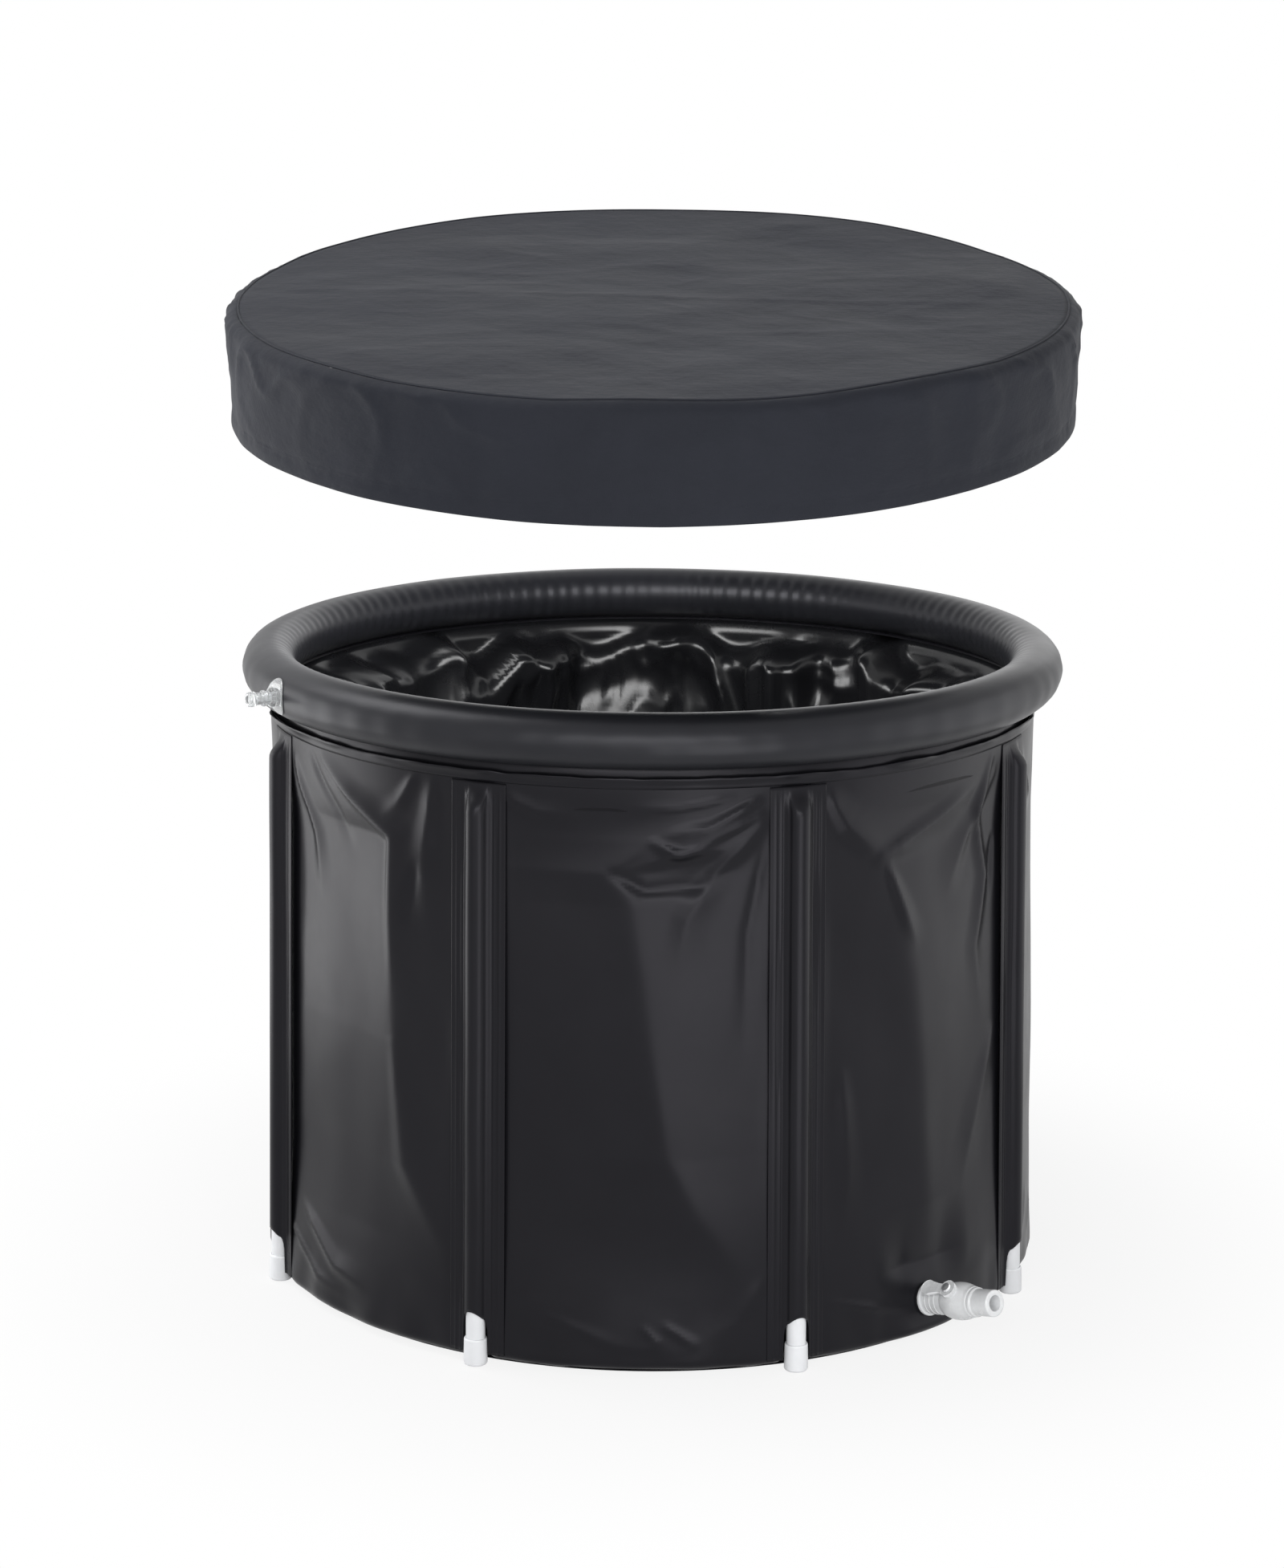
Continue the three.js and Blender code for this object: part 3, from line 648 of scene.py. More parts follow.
def creaseField(azimuth, height):
    total = np.zeros(azimuth.shape)
    for points, left, right, depth in wall["creases"]:
        total += fold(azimuth, height, points, left, right, depth * wall["gain"])
    picker = np.random.default_rng(wall["creaseSeed"])
    corner, foot = wall["corner"], wall["foot"]
    near, far = foot["sway"]
    for panel in range(len(wall["ridges"]), tub["poles"]):
        start = tub["firstPole"] + panelTurn * panel
        for side, lean in corner["sides"]:
            for _ in range(corner["count"]):
                a = start + side + picker.uniform(-corner["shift"], corner["shift"])
                z = picker.uniform(*corner["height"])
                reach = lean * picker.uniform(*corner["reach"])
                drop = picker.uniform(*corner["drop"])
                across, down = corner["bend"]
                points = [(a, z), (a + reach * across, z - drop * down), (a + reach, z - drop)]
                left, right = picker.uniform(*corner["falloff"], 2)
                total += fold(azimuth, height, points, left, right, picker.uniform(*corner["depth"]))
        for _ in range(foot["count"]):
            a = start + picker.uniform(*foot["start"])
            z = picker.uniform(*foot["height"])
            bend = (a + picker.uniform(-near, near), z - foot["step"])
            points = [(a, z), bend, (a + picker.uniform(-far, far), foot["end"])]
            left, right = picker.uniform(*foot["falloff"], 2)
            total += fold(azimuth, height, points, left, right, picker.uniform(*foot["depth"]))
    return total


def blurAround(field, reach):
    # smooths a field a little around the tub
    kernel = np.exp(-np.linspace(-2, 2, 2 * reach + 1) ** 2)
    kernel /= kernel.sum()
    return sum(weight * np.roll(field, k - reach, axis=0) for k, weight in enumerate(kernel))


def makeWall():
    columns, rows, hem = wall["columns"], wall["rows"], wall["hem"]
    azimuth, height = crossed(aroundTub(columns), np.linspace(hem, tub["wallTop"], rows))
    below = tub["wallTop"] - height
    nearDrain = besideDrain(azimuth, height)
    held = 1 - ease(ramp(besidePole(azimuth), *wall["held"]))
    edge = np.maximum(1 - ease(ramp(below, *wall["topSlack"])), 1 - ease(ramp(height, *wall["lowSlack"])))
    free = 1 - np.clip(np.maximum(edge, nearDrain), 0, 1)
    ends = np.maximum(1 - ramp(below, *wall["topCrease"]), 1 - ramp(height, *wall["lowCrease"]))
    creaseFree = 1 - np.clip(np.maximum.reduce([held, ends, nearDrain]), 0, 1)
    sag = blurAround(facetSag(azimuth, height), wall["blur"])
    soft = layers(azimuth, height, wall["soft"])
    uneven = roundWave(azimuth, *wall["tuckNoise"]) * wall["tuckSwing"] + wall["tuckStart"]
    tuck = roundIn(height, hem, hem + wall["curve"], wall["curve"])
    tuck *= 1 + wall["tuckMore"] * np.clip(uneven, 0, 1)
    low = (1 - ramp(height, *wall["puckerTop"])) * ramp(height, hem, hem + wall["puckerRise"])
    low *= (1 - held) * (1 - nearDrain)
    shape = wall["pucker"] * low * rumple(azimuth, height, *wall["puckerNoise"])  # at the welded hem
    shape += creaseFree * creaseField(azimuth, height) + free * (1 - held) * soft
    shape -= free * wall["flat"] * sag
    radius = wallRadius(azimuth, height) + np.clip(shape, -wall["sink"], wall["relief"]) - tuck
    places = fromPolar(azimuth, radius, height)
    tubSheet("outerWall", places, gridFaces(columns, rows), "wall", ["outer_wall", "wall_insulation"])


makeWall()
stage("outer wall folded")


# base: a sheet under the tub, a little uneven
base = {"radius": 447, "rings": 24, "spokes": 144, "lift": 0.25, "edgeLift": 0.5, "scale": 0.01, "seed": 2.7}


def makeBase():
    verts = [(0, 0, 0)]
    for r in range(1, base["rings"] + 1):
        radius = base["radius"] * r / base["rings"]
        for k in range(base["spokes"]):
            turn = 2 * math.pi * k / base["spokes"]
            x, y = radius * math.cos(turn), radius * math.sin(turn)
            rise = noise.noise(Vector((x * base["scale"], y * base["scale"], base["seed"])))
            lift = base["lift"] + base["lift"] * rise if r < base["rings"] else base["edgeLift"]
            verts.append((x * mm, y * mm, lift * mm))
    faces = discFaces(base["rings"], base["spokes"], False)
    tubSheet("baseSheet", verts, faces, "wall", ["base_panel", "base_insulation"])


makeBase()


# liner: one loose glossy bag that bulges in over the poles
liner = {
    "columns": 560, "rows": 120, "inset": 6.8, "gap": 1.5, "floor": 6.8, "corner": 26, "overlap": 13,
    "bulge": 30, "bulgeHalf": 62, "bulgeFlat": 0.5, "swell": (0.8, 0.5), "swellNoise": (0.0085, 0.7, 5.2),
    "bulgeTop": 670, "shelfWave": 44, "shelfNoise": (0.012, 2.9), "shelfRoll": 30,
    "slack": 22, "topSlack": 0.35, "footSlack": 0.25, "least": 1, "most": 74,
    "topEdge": 12, "footEdge": (1, 60),
    "folds": ((0.0050, 0.6, 1.7, 46), (0.0092, 0.75, 9.3, 20), (0.022, 0.8, 4.1, 4)),
    "pinch": 2.4, "hollow": 1.5, "sway": 7, "swayNoise": (0.006, 0.8, 12.3), "heave": 40,
    "heaveNoise": (0.007, 0.8, 15.1),
}


def makeLiner():
    columns, rows = liner["columns"], liner["rows"]
    foot = liner["floor"] + tub["sheet"]
    top = tub["wallTop"] + liner["overlap"]  # welded up under the rim
    azimuth, height = crossed(aroundTub(columns), np.linspace(foot, top, rows))
    outer = wallRadius(azimuth, height) - liner["inset"] - liner["gap"]
    outer = np.minimum(outer, plainRadius(height) - liner["inset"])
    # the top of each bulge, rolled over
    shelf = liner["bulgeTop"] + liner["shelfWave"] * roundWave(azimuth, *liner["shelfNoise"])
    shoulder = 1 - ease(ramp(height, shelf - liner["shelfRoll"], shelf))
    near = np.clip(besidePole(azimuth) / liner["bulgeHalf"], 0, 1)
    box = ease(1 - ramp(near, liner["bulgeFlat"], 1)) * shoulder
    swell = liner["swell"][0] + liner["swell"][1] * rumple(azimuth, height, *liner["swellNoise"])
    bentAzimuth = azimuth + liner["sway"] * rumple(azimuth, height, *liner["swayNoise"])
    bentHeight = height + liner["heave"] * rumple(azimuth, height, *liner["heaveNoise"])
    lumps = np.zeros(azimuth.shape)
    for scale, stretch, seed, depth in liner["folds"]:  # pinched folds with round hollows between
        field = np.abs(rumple(bentAzimuth, bentHeight, scale, stretch, seed))
        lumps += depth * (1 - np.clip(field * liner["pinch"], 0, 1)) ** liner["hollow"]
    slack = liner["slack"] * np.minimum(1, liner["topSlack"] + shoulder)
    inward = np.clip(slack + liner["bulge"] * box * swell + lumps * shoulder, liner["least"], liner["most"])
    edgeLow, edgeHigh = liner["footEdge"]
    loose = liner["footSlack"] + (1 - liner["footSlack"]) * ramp(height, liner["floor"] + edgeLow, edgeHigh)
    inward *= ramp(top - height, 0, liner["topEdge"]) * loose * (1 - besideDrain(azimuth, height))
    tuck = roundIn(height, foot, liner["floor"] + liner["corner"], liner["corner"])
    places = fromPolar(azimuth, outer - inward - tuck, height)
    tubSheet("innerLiner", places, gridFaces(columns, rows), "liner", ["inner_liner"], offset=1)


makeLiner()

# the liner's floor lies in soft waves: scale and depth of each
basin = {
    "rings": 30, "spokes": 144, "middle": 9.0, "rise": 8.6, "edgeGap": 2, "scale": 5, "seed": 4.4,
    "waves": ((1, 2.2), (2.7, 1.2)), "grooveAt": 50.0,
}


def makeLinerFloor():
    verts = [(0, 0, basin["middle"] * mm)]
    reach = tub["bottomRadius"] - liner["inset"] - liner["corner"] - basin["edgeGap"]
    for r in range(1, basin["rings"] + 1):
        part = r / basin["rings"]
        spread = part * basin["scale"]
        for k in range(basin["spokes"]):
            azimuth = np.array(360 * k / basin["spokes"])
            turn = math.radians(azimuth)
            at = Vector((math.sin(turn) * spread, math.cos(turn) * spread, basin["seed"]))
            waves = [depth * abs(noise.noise(at * scale)) for scale, depth in basin["waves"]]
            radius = (reach - float(groove(azimuth, np.array(basin["grooveAt"])))) * part
            verts.append(tuple(fromPolar(azimuth, radius, basin["rise"] + sum(waves))))
    tubSheet("linerFloor", verts, discFaces(basin["rings"], basin["spokes"], True), "liner")


makeLinerFloor()
stage("liner laid in")


# inflated rim with fine puckers on its inner side and shallow pinches outside
rim = {
    "columns": 720, "sides": 40, "inset": 0.6,
    "swell": 0.54, "swellReach": 30, "swellNoise": (0.006, 1, 7.7),
    "pucker": 0.9, "puckers": 150, "puckerSway": 1.5, "puckerNoise": (0.02, 2.2), "innerSide": 1.5,
    "patchNoise": (0.0042, 6.6), "patchStart": 0.55, "patchLeast": 0.12,
    "pinch": 0.35, "pinches": 61, "pinchSway": 2, "pinchNoise": (0.012, 4.2), "outerSide": 6,
}


def makeRim():
    columns, sides = rim["columns"], rim["sides"]
    azimuth, around = crossed(aroundTub(columns), np.linspace(0, 2 * math.pi, sides, endpoint=False))
    turn = np.radians(azimuth)
    inner = np.clip(-np.cos(around), 0, 1) ** rim["innerSide"]  # 1 on the side that faces the basin
    outer = np.clip(np.cos(around), 0, 1) ** rim["outerSide"]
    patches = np.clip(roundWave(azimuth, *rim["patchNoise"]) + rim["patchStart"], rim["patchLeast"], 1)
    pucker = np.sin(turn * rim["puckers"] + rim["puckerSway"] * roundWave(azimuth, *rim["puckerNoise"]))
    pinch = np.sin(turn * rim["pinches"] + rim["pinchSway"] * roundWave(azimuth, *rim["pinchNoise"]))
    tube = tub["rimTube"] - rim["inset"]
    tube = tube + rim["swell"] * rumple(azimuth, around * rim["swellReach"], *rim["swellNoise"])
    tube += rim["pucker"] * pucker * inner * patches + rim["pinch"] * pinch * outer
    height = tub["rimTop"] - tub["rimTube"] + tube * np.sin(around)
    places = fromPolar(azimuth, tub["rimRadius"] + tube * np.cos(around), height).reshape(-1, 3)
    makePiece("airRim", places, tubeFaces(columns, sides), "tub", "rim", ["air_ring"])


makeRim()

# the weld strip that carries the rim, with a wavy lip over the top of the wall
band = {
    "columns": 480, "thick": 1.0, "waveNoise": (0.016, 3.3), "fineNoise": (0.05, 1.2), "seat": 0.5,
    "strip": ((640, -2.6, 0), (660, -2.6, 0), (676, -3.5, 0.4), (694, 0.5, 0)),  # height, offset and waver
    "lipRows": 5, "lipLow": 7, "lipRise": 5, "riseWave": 2.4, "riseFine": 1.4, "lipGap": 0.7,
    "lipOut": 9, "outLeast": 0.35, "outWave": 0.9, "outFine": 1.5,
    "flare": 3, "flareAt": -66, "flareWide": 8,
}


def makeBand():
    columns, top = band["columns"], tub["wallTop"]
    azimuth = aroundTub(columns)
    wave = roundWave(azimuth, *band["waveNoise"])
    fine = roundWave(azimuth, *band["fineNoise"])
    strip = []
    for height, off, waver in band["strip"]:
        edge = tub["rimRadius"] - band["seat"] if height > top else plainRadius(height)
        strip.append(fromPolar(azimuth, edge + off + waver * wave, np.full(columns, float(height))))
    faces = gridFaces(columns, len(strip))
    tubSheet("rimBand", np.stack(strip, axis=1), faces, "wall", ["rim_band"], band["thick"])
    lip = []
    flare = band["flare"] * bell(azimuth, band["flareAt"], band["flareWide"])
    rise = band["riseWave"] * wave + band["riseFine"] * fine
    spread = band["lipOut"] * (band["outLeast"] + band["outWave"] * wave) + band["outFine"] * fine + flare
    for part in np.linspace(0, 1, band["lipRows"]):
        height = top - band["lipLow"] + part * (band["lipLow"] + band["lipRise"]) + part ** 2 * rise
        out = band["lipGap"] + part ** 2 * spread
        lip.append(fromPolar(azimuth, plainRadius(height) + out, height))
    tubSheet("wallLip", np.stack(lip, axis=1), gridFaces(columns, len(lip)), "wall", (), band["thick"])


makeBand()
stage("rim and band made")


# poles, feet and sleeves
pole = {
    "radius": 11, "bore": 9, "low": 3.5, "lift": 0.4, "segments": 40,
    "footRadius": 13.5, "footHeight": 31, "socket": 11.3, "footFloor": 3.2, "axis": 0.01,
}
sleeve = {
    "half": 33, "bottom": 12, "top": 664, "across": 88, "up": 150, "thick": 0.9, "skin": 0.9,
    "archHalf": 15, "archTop": 65, "archRound": 1.6, "gap": 1.3, "root": 18.5, "rootRise": 2, "rootIn": 0.6,
    "welds": (19.5, 26), "weldRise": 0.5, "weldWide": 1.4, "closeLow": 1, "closeHigh": 2,
    "ripples": ((0.02, 0.3, 0, 1.3), (0.05, 0.2, 5, 0.5)), "seedStep": 13.7, "freeIn": 12,
    "least": 0.6, "leastFree": 0.3, "press": 0.1,
}


def sleeveProfile(across):
    # distance out from the wall of a strip drawn round the pole: a tight tube with flat welds beside it
    arc = pole["radius"] + sleeve["gap"]
    side = np.abs(across)
    crown = tub["poleOutset"] + np.sqrt(np.clip(arc ** 2 - across ** 2, 0, None))
    flat = 1 - ease(ramp(side, arc - sleeve["rootIn"], sleeve["root"]))
    root = (tub["poleOutset"] + sleeve["rootRise"]) * flat
    welds = sum(sleeve["weldRise"] * bell(side, place, sleeve["weldWide"]) for place in sleeve["welds"])
    return np.maximum(np.where(side < arc, crown, 0), root) + welds + sleeve["skin"]


def makeSleeve(number, azimuth):
    columns, rows = sleeve["across"] + 1, sleeve["up"] + 1
    half, bottom, top = sleeve["half"], sleeve["bottom"], sleeve["top"]
    across, height = crossed(np.linspace(-half, half, columns), np.linspace(bottom, top, rows))
    side = np.abs(across)
    spring = sleeve["archTop"] - sleeve["archRound"] * sleeve["archHalf"]
    bow = np.sqrt(np.clip(1 - (across / sleeve["archHalf"]) ** 2, 0, 1))
    arch = spring + (sleeve["archTop"] - spring) * bow  # the foot shows through an arch in the strip
    low = np.where(side < sleeve["archHalf"] + pole["axis"], arch, bottom)
    shaped = low + (top - low) * ramp(height, bottom, top)
    profile = sleeveProfile(across)
    # the pocket closes over the pole's top
    closing = ease(ramp(shaped, tub["poleTop"] - sleeve["closeLow"], top - sleeve["closeHigh"]))
    out = profile * (1 - closing) + sleeve["skin"] * closing
    spot = azimuth + across / degMm
    ripple = layers(spot, shaped, sleeve["ripples"], sleeve["seedStep"] * (number - 1))
    free = np.clip((half - side) / sleeve["freeIn"], 0, 1) * (1 - closing)
    out = np.maximum(out + ripple * free, sleeve["least"] + sleeve["leastFree"] * free)
    overPole = (side < pole["radius"]) & (shaped < tub["poleTop"])
    out = np.where(overPole, np.maximum(out, profile - sleeve["press"]), out)
    places = fromPolar(spot, plainRadius(shaped) + out, shaped)
    faces = gridFaces(columns, rows, wrap=False)
    tubSheet(f"poleSleeve{number}", places, faces, "wall", [f"pole_sleeve_{number}"], sleeve["thick"])


def makePole(number, azimuth):
    matrix = radialMatrix(azimuth, tub["bottomRadius"] + tub["poleOutset"], pole["lift"], math.atan(taper))
    bore, radius, low, top = pole["bore"], pole["radius"], pole["low"], tub["poleTop"]
    pipe = [(bore, low), (radius, low), (radius, top), (bore, top)]
    segments = pole["segments"]
    turnedPiece(f"polePipe{number}", pipe, matrix, "tub", "pipe", [f"pole_{number}"], segments, "z", 0.6)
    big, high, floor = pole["footRadius"], pole["footHeight"], pole["footFloor"]
    cap = [
        (pole["axis"], 0), (big - 1.5, 0), (big, 2), (big - 0.2, high * 0.45), (big - 0.4, high - 1.5),
        (big - 1.2, high), (pole["socket"], high), (pole["socket"], floor), (pole["axis"], floor),
    ]
    turnedPiece(f"footCap{number}", cap, matrix, "tub", "pipe", [f"foot_cap_{number}"], segments, "z", 1.0)


for number in range(1, tub["poles"] + 1):
    poleAzimuth = tub["firstPole"] + panelTurn * (number - 1)
    makePole(number, poleAzimuth)
    makeSleeve(number, poleAzimuth)
stage("poles and sleeves made")


# air valve: soft clear plastic
airValve = {
    "azimuth": -59.3, "flange": 21, "hole": 0.36, "rings": 10, "spokes": 48, "inside": 0.4, "outside": 1.7,
    "stem": 8, "bore": 4.6, "length": 24, "cap": 8.5, "capHeight": 9, "fit": 0.3, "axis": 0.01,
}


def flangeMesh(matrix):
    # a thin washer bent to the rim: an inner and an outer skin joined at both edges
    rings, spokes = airValve["rings"], airValve["spokes"]
    hole, flange = airValve["hole"], airValve["flange"]
    tube, inside, outside = tub["rimTube"], airValve["inside"], airValve["outside"]
    verts, faces = [], []
    for side in (inside, outside):
        for r in range(rings + 1):
            part = hole + (1 - hole) * r / rings
            thick = side if r < rings else 0.5 * (inside + side)
            for s in range(spokes):
                turn = 2 * math.pi * s / spokes
                x, z = flange * part * math.cos(turn), flange * part * math.sin(turn)
                spot = math.sqrt((tube + thick) ** 2 - z ** 2) - x * x / (2 * (tub["rimRadius"] + tube))
                verts.append(matrix @ Vector((x * mm, spot * mm, z * mm)))
    skin = (rings + 1) * spokes
    low = rings * spokes
    for s in range(spokes):
        nxt = (s + 1) % spokes
        for r in range(rings):
            a, b = r * spokes, (r + 1) * spokes
            faces.append((a + s, b + s, b + nxt, a + nxt))
            faces.append((skin + a + s, skin + a + nxt, skin + b + nxt, skin + b + s))
        faces.append((low + s, skin + low + s, skin + low + nxt, low + nxt))
        faces.append((s, nxt, skin + nxt, skin + s))
    return verts, faces


def makeAirValve():
    matrix = radialMatrix(airValve["azimuth"], tub["rimRadius"], tub["rimTop"] - tub["rimTube"])
    flange = makePiece("airFlange", *flangeMesh(matrix), "tub", "clear", ["air_valve_body"])
    mergeClose(flange)
    tube, stem, bore, spokes = tub["rimTube"], airValve["stem"], airValve["bore"], airValve["spokes"]
    face, tip = tube + airValve["fit"], tube + airValve["length"]
    outline = [
        (bore, face - 3), (stem, face - 3), (stem, face + 1.5), (stem + 4, face + 1.6), (stem + 3, face + 6),
        (stem, face + 8), (stem, face + 12), (stem + 1.4, face + 13), (stem + 1.4, face + 15),
        (stem - 1, face + 17), (stem - 1, tip), (bore, tip),
    ]
    stemPiece = turnedPiece("airStem", outline, matrix, "tub", "clear", (), spokes)
    shank, start = bore - airValve["fit"], tip + airValve["fit"]
    cap, axis = airValve["cap"], airValve["axis"]
    end = start + airValve["capHeight"]
    outline = [
        (axis, face + 3), (shank, face + 3), (shank, start), (cap, start), (cap, end - 2), (cap - 1.5, end),
        (cap - 4, end), (cap - 5, end - 2), (axis, end - 2),
    ]
    plug = turnedPiece("airPlug", outline, matrix, "air_plug", "clear", ["air_valve_plug"], spokes)
    for piece in (stemPiece, plug):
        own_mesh(piece)


makeAirValve()


# drain: moulded fittings along one axis that tips up from the wall
patchShare = math.cos(math.radians(drain["patchHalf"]))
drainTilt = math.atan((taper + math.tan(math.radians(drain["dip"]))) * patchShare)
drainFace = plainRadius(drain["height"]) * patchShare
drainMatrix = radialMatrix(drain["azimuth"], drainFace, drain["height"], drainTilt)
rolledMatrix = drainMatrix @ Matrix.Rotation(math.radians(drain["roll"]), 4, "Y")
valve = {
    "bore": 9, "thread": 13, "threadLow": -23.6, "threadEnd": 24.9, "flange": 19, "flangeAt": (2.6, 6.6),
    "collarLow": 6.9, "collarWall": 3.5, "gripRings": (12, 19, 26), "fit": 0.3,
    "ball": 54, "housing": 21.5, "crown": 0.62, "crownHalf": 20, "crownEnd": 0.9, "crownSteps": 9,
    "cavity": 13.4, "cavityLow": 38.8, "bodyEnd": 75.9, "spout": 15.2, "spoutLow": 69.2, "spoutPlug": 13.1,
    "bossBore": 5.2, "bossRadius": 9, "bossLow": 16, "bossTop": 22.5,
}
ballMatrix = rolledMatrix @ Matrix.Translation((0, valve["ball"] * mm, 0))


def makeDrain():
    bore, thread, threadEnd, flange = valve["bore"], valve["thread"], valve["threadEnd"], valve["flange"]
    low, high = valve["flangeAt"]
    outline = [
        (bore, valve["threadLow"]), (thread, valve["threadLow"]), (thread, low), (flange, low),
        (flange, high), (thread, high), (thread, threadEnd), (bore, threadEnd),
    ]
    turnedPiece("drainBulkhead", outline, drainMatrix, "tub", "valve", ["drain_bulkhead"], soften=1.0)
    collar, fit = thread + valve["collarWall"], valve["fit"]
    cavity, cavityLow, bodyEnd = valve["cavity"], valve["cavityLow"], valve["bodyEnd"]
    crown = []
    for part in np.linspace(-valve["crownEnd"], valve["crownEnd"], valve["crownSteps"]):
        radius = valve["housing"] * math.sqrt(1 - (valve["crown"] * part) ** 2)
        crown.append((radius, valve["ball"] + valve["crownHalf"] * part))
    outline = [
        (collar, valve["collarLow"]), (collar, cavityLow - 4), *crown, (collar + 1, bodyEnd),
        (cavity, bodyEnd), (cavity, cavityLow), (bore, cavityLow), (bore, threadEnd + fit),
        (thread + fit, threadEnd + fit), (thread + fit, valve["collarLow"]),
    ]
    turnedPiece("valveBody", outline, rolledMatrix, "tub", "valve", ["valve_body"], 72, soften=1.6)
    inner, outer, low, high = valve["bossBore"], valve["bossRadius"], valve["bossLow"], valve["bossTop"]
    outline = [(inner, low), (outer, low), (outer, high), (inner, high)]
    turnedPiece("valveBoss", outline, ballMatrix, "tub", "valve", (), 48, "z")
    for place in valve["gripRings"]:
        inner, outer = collar - 0.3, collar + 0.6
        outline = [(inner, place - 1), (outer, place - 0.5), (outer, place + 0.5), (inner, place + 1)]
        turnedPiece(f"collarRing{place}", outline, rolledMatrix, "tub", "valve", soften=0.3)
    spout, plug, start, end = valve["spout"], valve["spoutPlug"], bodyEnd + fit, drain["length"]
    outline = [
        (bore, valve["spoutLow"]), (plug, valve["spoutLow"]), (plug, start), (spout + 1.6, start),
        (spout + 1.6, bodyEnd + 4), (spout, bodyEnd + 6), (spout, end - 1), (spout - 1, end), (bore, end),
    ]
    turnedPiece("valveSpout", outline, rolledMatrix, "tub", "valve", ["valve_spout"])


lever = {
    "length": 30, "thick": 6, "hub": 10, "lobe": 9, "waist": 5.5, "border": 1.8, "dish": 1.4, "edge": 0.9,
}


def arcPoints(radius, middle, start, stop, count):
    turns = np.radians(np.linspace(start, stop, count))
    return [(radius * math.cos(turn), middle + radius * math.sin(turn)) for turn in turns]


def makeLever():
    length, waist = lever["length"], lever["waist"]
    ring = arcPoints(lever["hub"], 0, -60, 240, 30)
    ring.append((-waist, -length / 2))
    ring += arcPoints(lever["lobe"], -length, 150, 390, 28)
    ring.append((waist, -length / 2))
    mesh = bmesh.new()
    low = valve["bossTop"] + valve["fit"]
    bottom = [mesh.verts.new((x * mm, y * mm, low * mm)) for x, y in ring]
    top = [mesh.verts.new((x * mm, y * mm, (low + lever["thick"]) * mm)) for x, y in ring]
    mesh.faces.new(list(reversed(bottom)))
    cap = mesh.faces.new(top)
    for k in range(len(ring)):
        nxt = (k + 1) % len(ring)
        mesh.faces.new((bottom[k], bottom[nxt], top[nxt], top[k]))
    bmesh.ops.inset_region(mesh, faces=[cap], thickness=lever["border"] * mm)
    bmesh.ops.translate(mesh, verts=cap.verts, vec=(0, 0, -lever["dish"] * mm))
    done = bpy.data.meshes.new("valveLever")
    mesh.to_mesh(done)
    mesh.free()
    done.transform(ballMatrix)
    done.materials.append(finishes["valve"])
    piece = addObject("valveLever", done)
    edge = piece.modifiers.new("edge", "BEVEL")
    edge.width = lever["edge"] * mm
    edge.segments = 3
    edge.limit_method = "ANGLE"
    applyModifiers(piece)
    smoothShade(piece)
    claim(piece, "drain_lever", ["valve_handle"])


makeDrain()
makeLever()
stage("valves made")


# cover: cloth top and skirt, hovering tilted as the joint holds it; noises are scale, seed and depth
cover = {
    "tilt": 7.35, "swing": 3090, "drop": 30, "seat": 750.3, "inner": 487.5, "shoulder": 12, "skirt": 128,
    "hem": 18, "hemTurn": 8, "columns": 360, "skirtRows": 44, "arcRows": 10, "topRings": 60,
    "seamRise": 11, "seamNoise": (1.9, 4.7), "seamStart": 0.2, "seamFade": 5,
    "topLift": 1.4, "topThick": 0.9, "topNoises": ((0.0055, 2.2, 4.5), (0.014, 5.1, 1.6)),
    "creaseAcross": (8, 11, 0.6), "creaseLean": 0.06, "creaseDown": (30, 12, 0.8),
    "crumple": 0.6, "crumpleNoise": (0.013, 8.8), "crumpleLong": 0.45, "crumpleSharp": 3.4,
    "sagEnd": (0.84, 8), "riseEnd": (1, 9),
    "skirtThick": 1.0, "skirtGap": 1.0, "broad": (0.35, 0.0065, 1.3, 8.0), "ruck": (0.5, 0.02, 6.4, 2.6),
    "outward": (-1.5, 7), "seamLoose": 3, "hemLoose": (6, 0.35),
    "tuck": 3.2, "tuckNoise": (0.7, 0.017, 9.4), "tuckSharp": 3.0,
    "puckers": 140, "puckerSway": 2, "puckerNoise": (0.01, 3.3), "pucker": 0.7, "hemDraw": 1.2, "hemWide": 6,
    "seamAt": -6, "seamWide": 9, "seamPucker": 0.8, "gatherAt": -20, "gatherWide": 34, "gatherLow": 0.35,
    "stitches": 420, "stitchGap": -0.3, "stitchWide": 1.6,
    "cordSides": 8, "cordWide": 1.3, "cordHigh": 1.1, "cordBeads": 180, "cordBead": 0.25,
}
coverMatrix = (
    Matrix.Translation((0, -cover["swing"] * mm, (cover["seat"] - cover["drop"]) * mm))
    @ Matrix.Rotation(math.radians(cover["tilt"]), 4, "X")
    @ Matrix.Translation((0, cover["swing"] * mm, cover["drop"] * mm))
)
coverTurns = np.linspace(0, 2 * math.pi, cover["columns"], endpoint=False)
seamRadius = cover["inner"] - cover["shoulder"]


def coverNoise(x, y, z, scale, seed):
    return noiseField(x * scale, y * scale, z * scale + seed)


def coverPlaces(x, y, z):
    verts = np.stack([x, y, z], axis=-1).reshape(-1, 3)
    return [coverMatrix @ (Vector(v) * mm) for v in verts]


def markStitch(piece, values):
    piece.data.attributes.new("stitch", "FLOAT", "POINT").data.foreach_set("value", values)


def pinched(field, sharp):
    # thin raised lines where the field crosses nought
    return (1 - np.clip(np.abs(field) * sharp, 0, 1)) ** 2


def seamLift(angle):
    # the seam rides up and down a little round the cover
    wave = coverNoise(np.sin(angle), -np.cos(angle), angle * 0, *cover["seamNoise"])
    return cover["seamRise"] * np.clip(wave + cover["seamStart"], 0, 1)


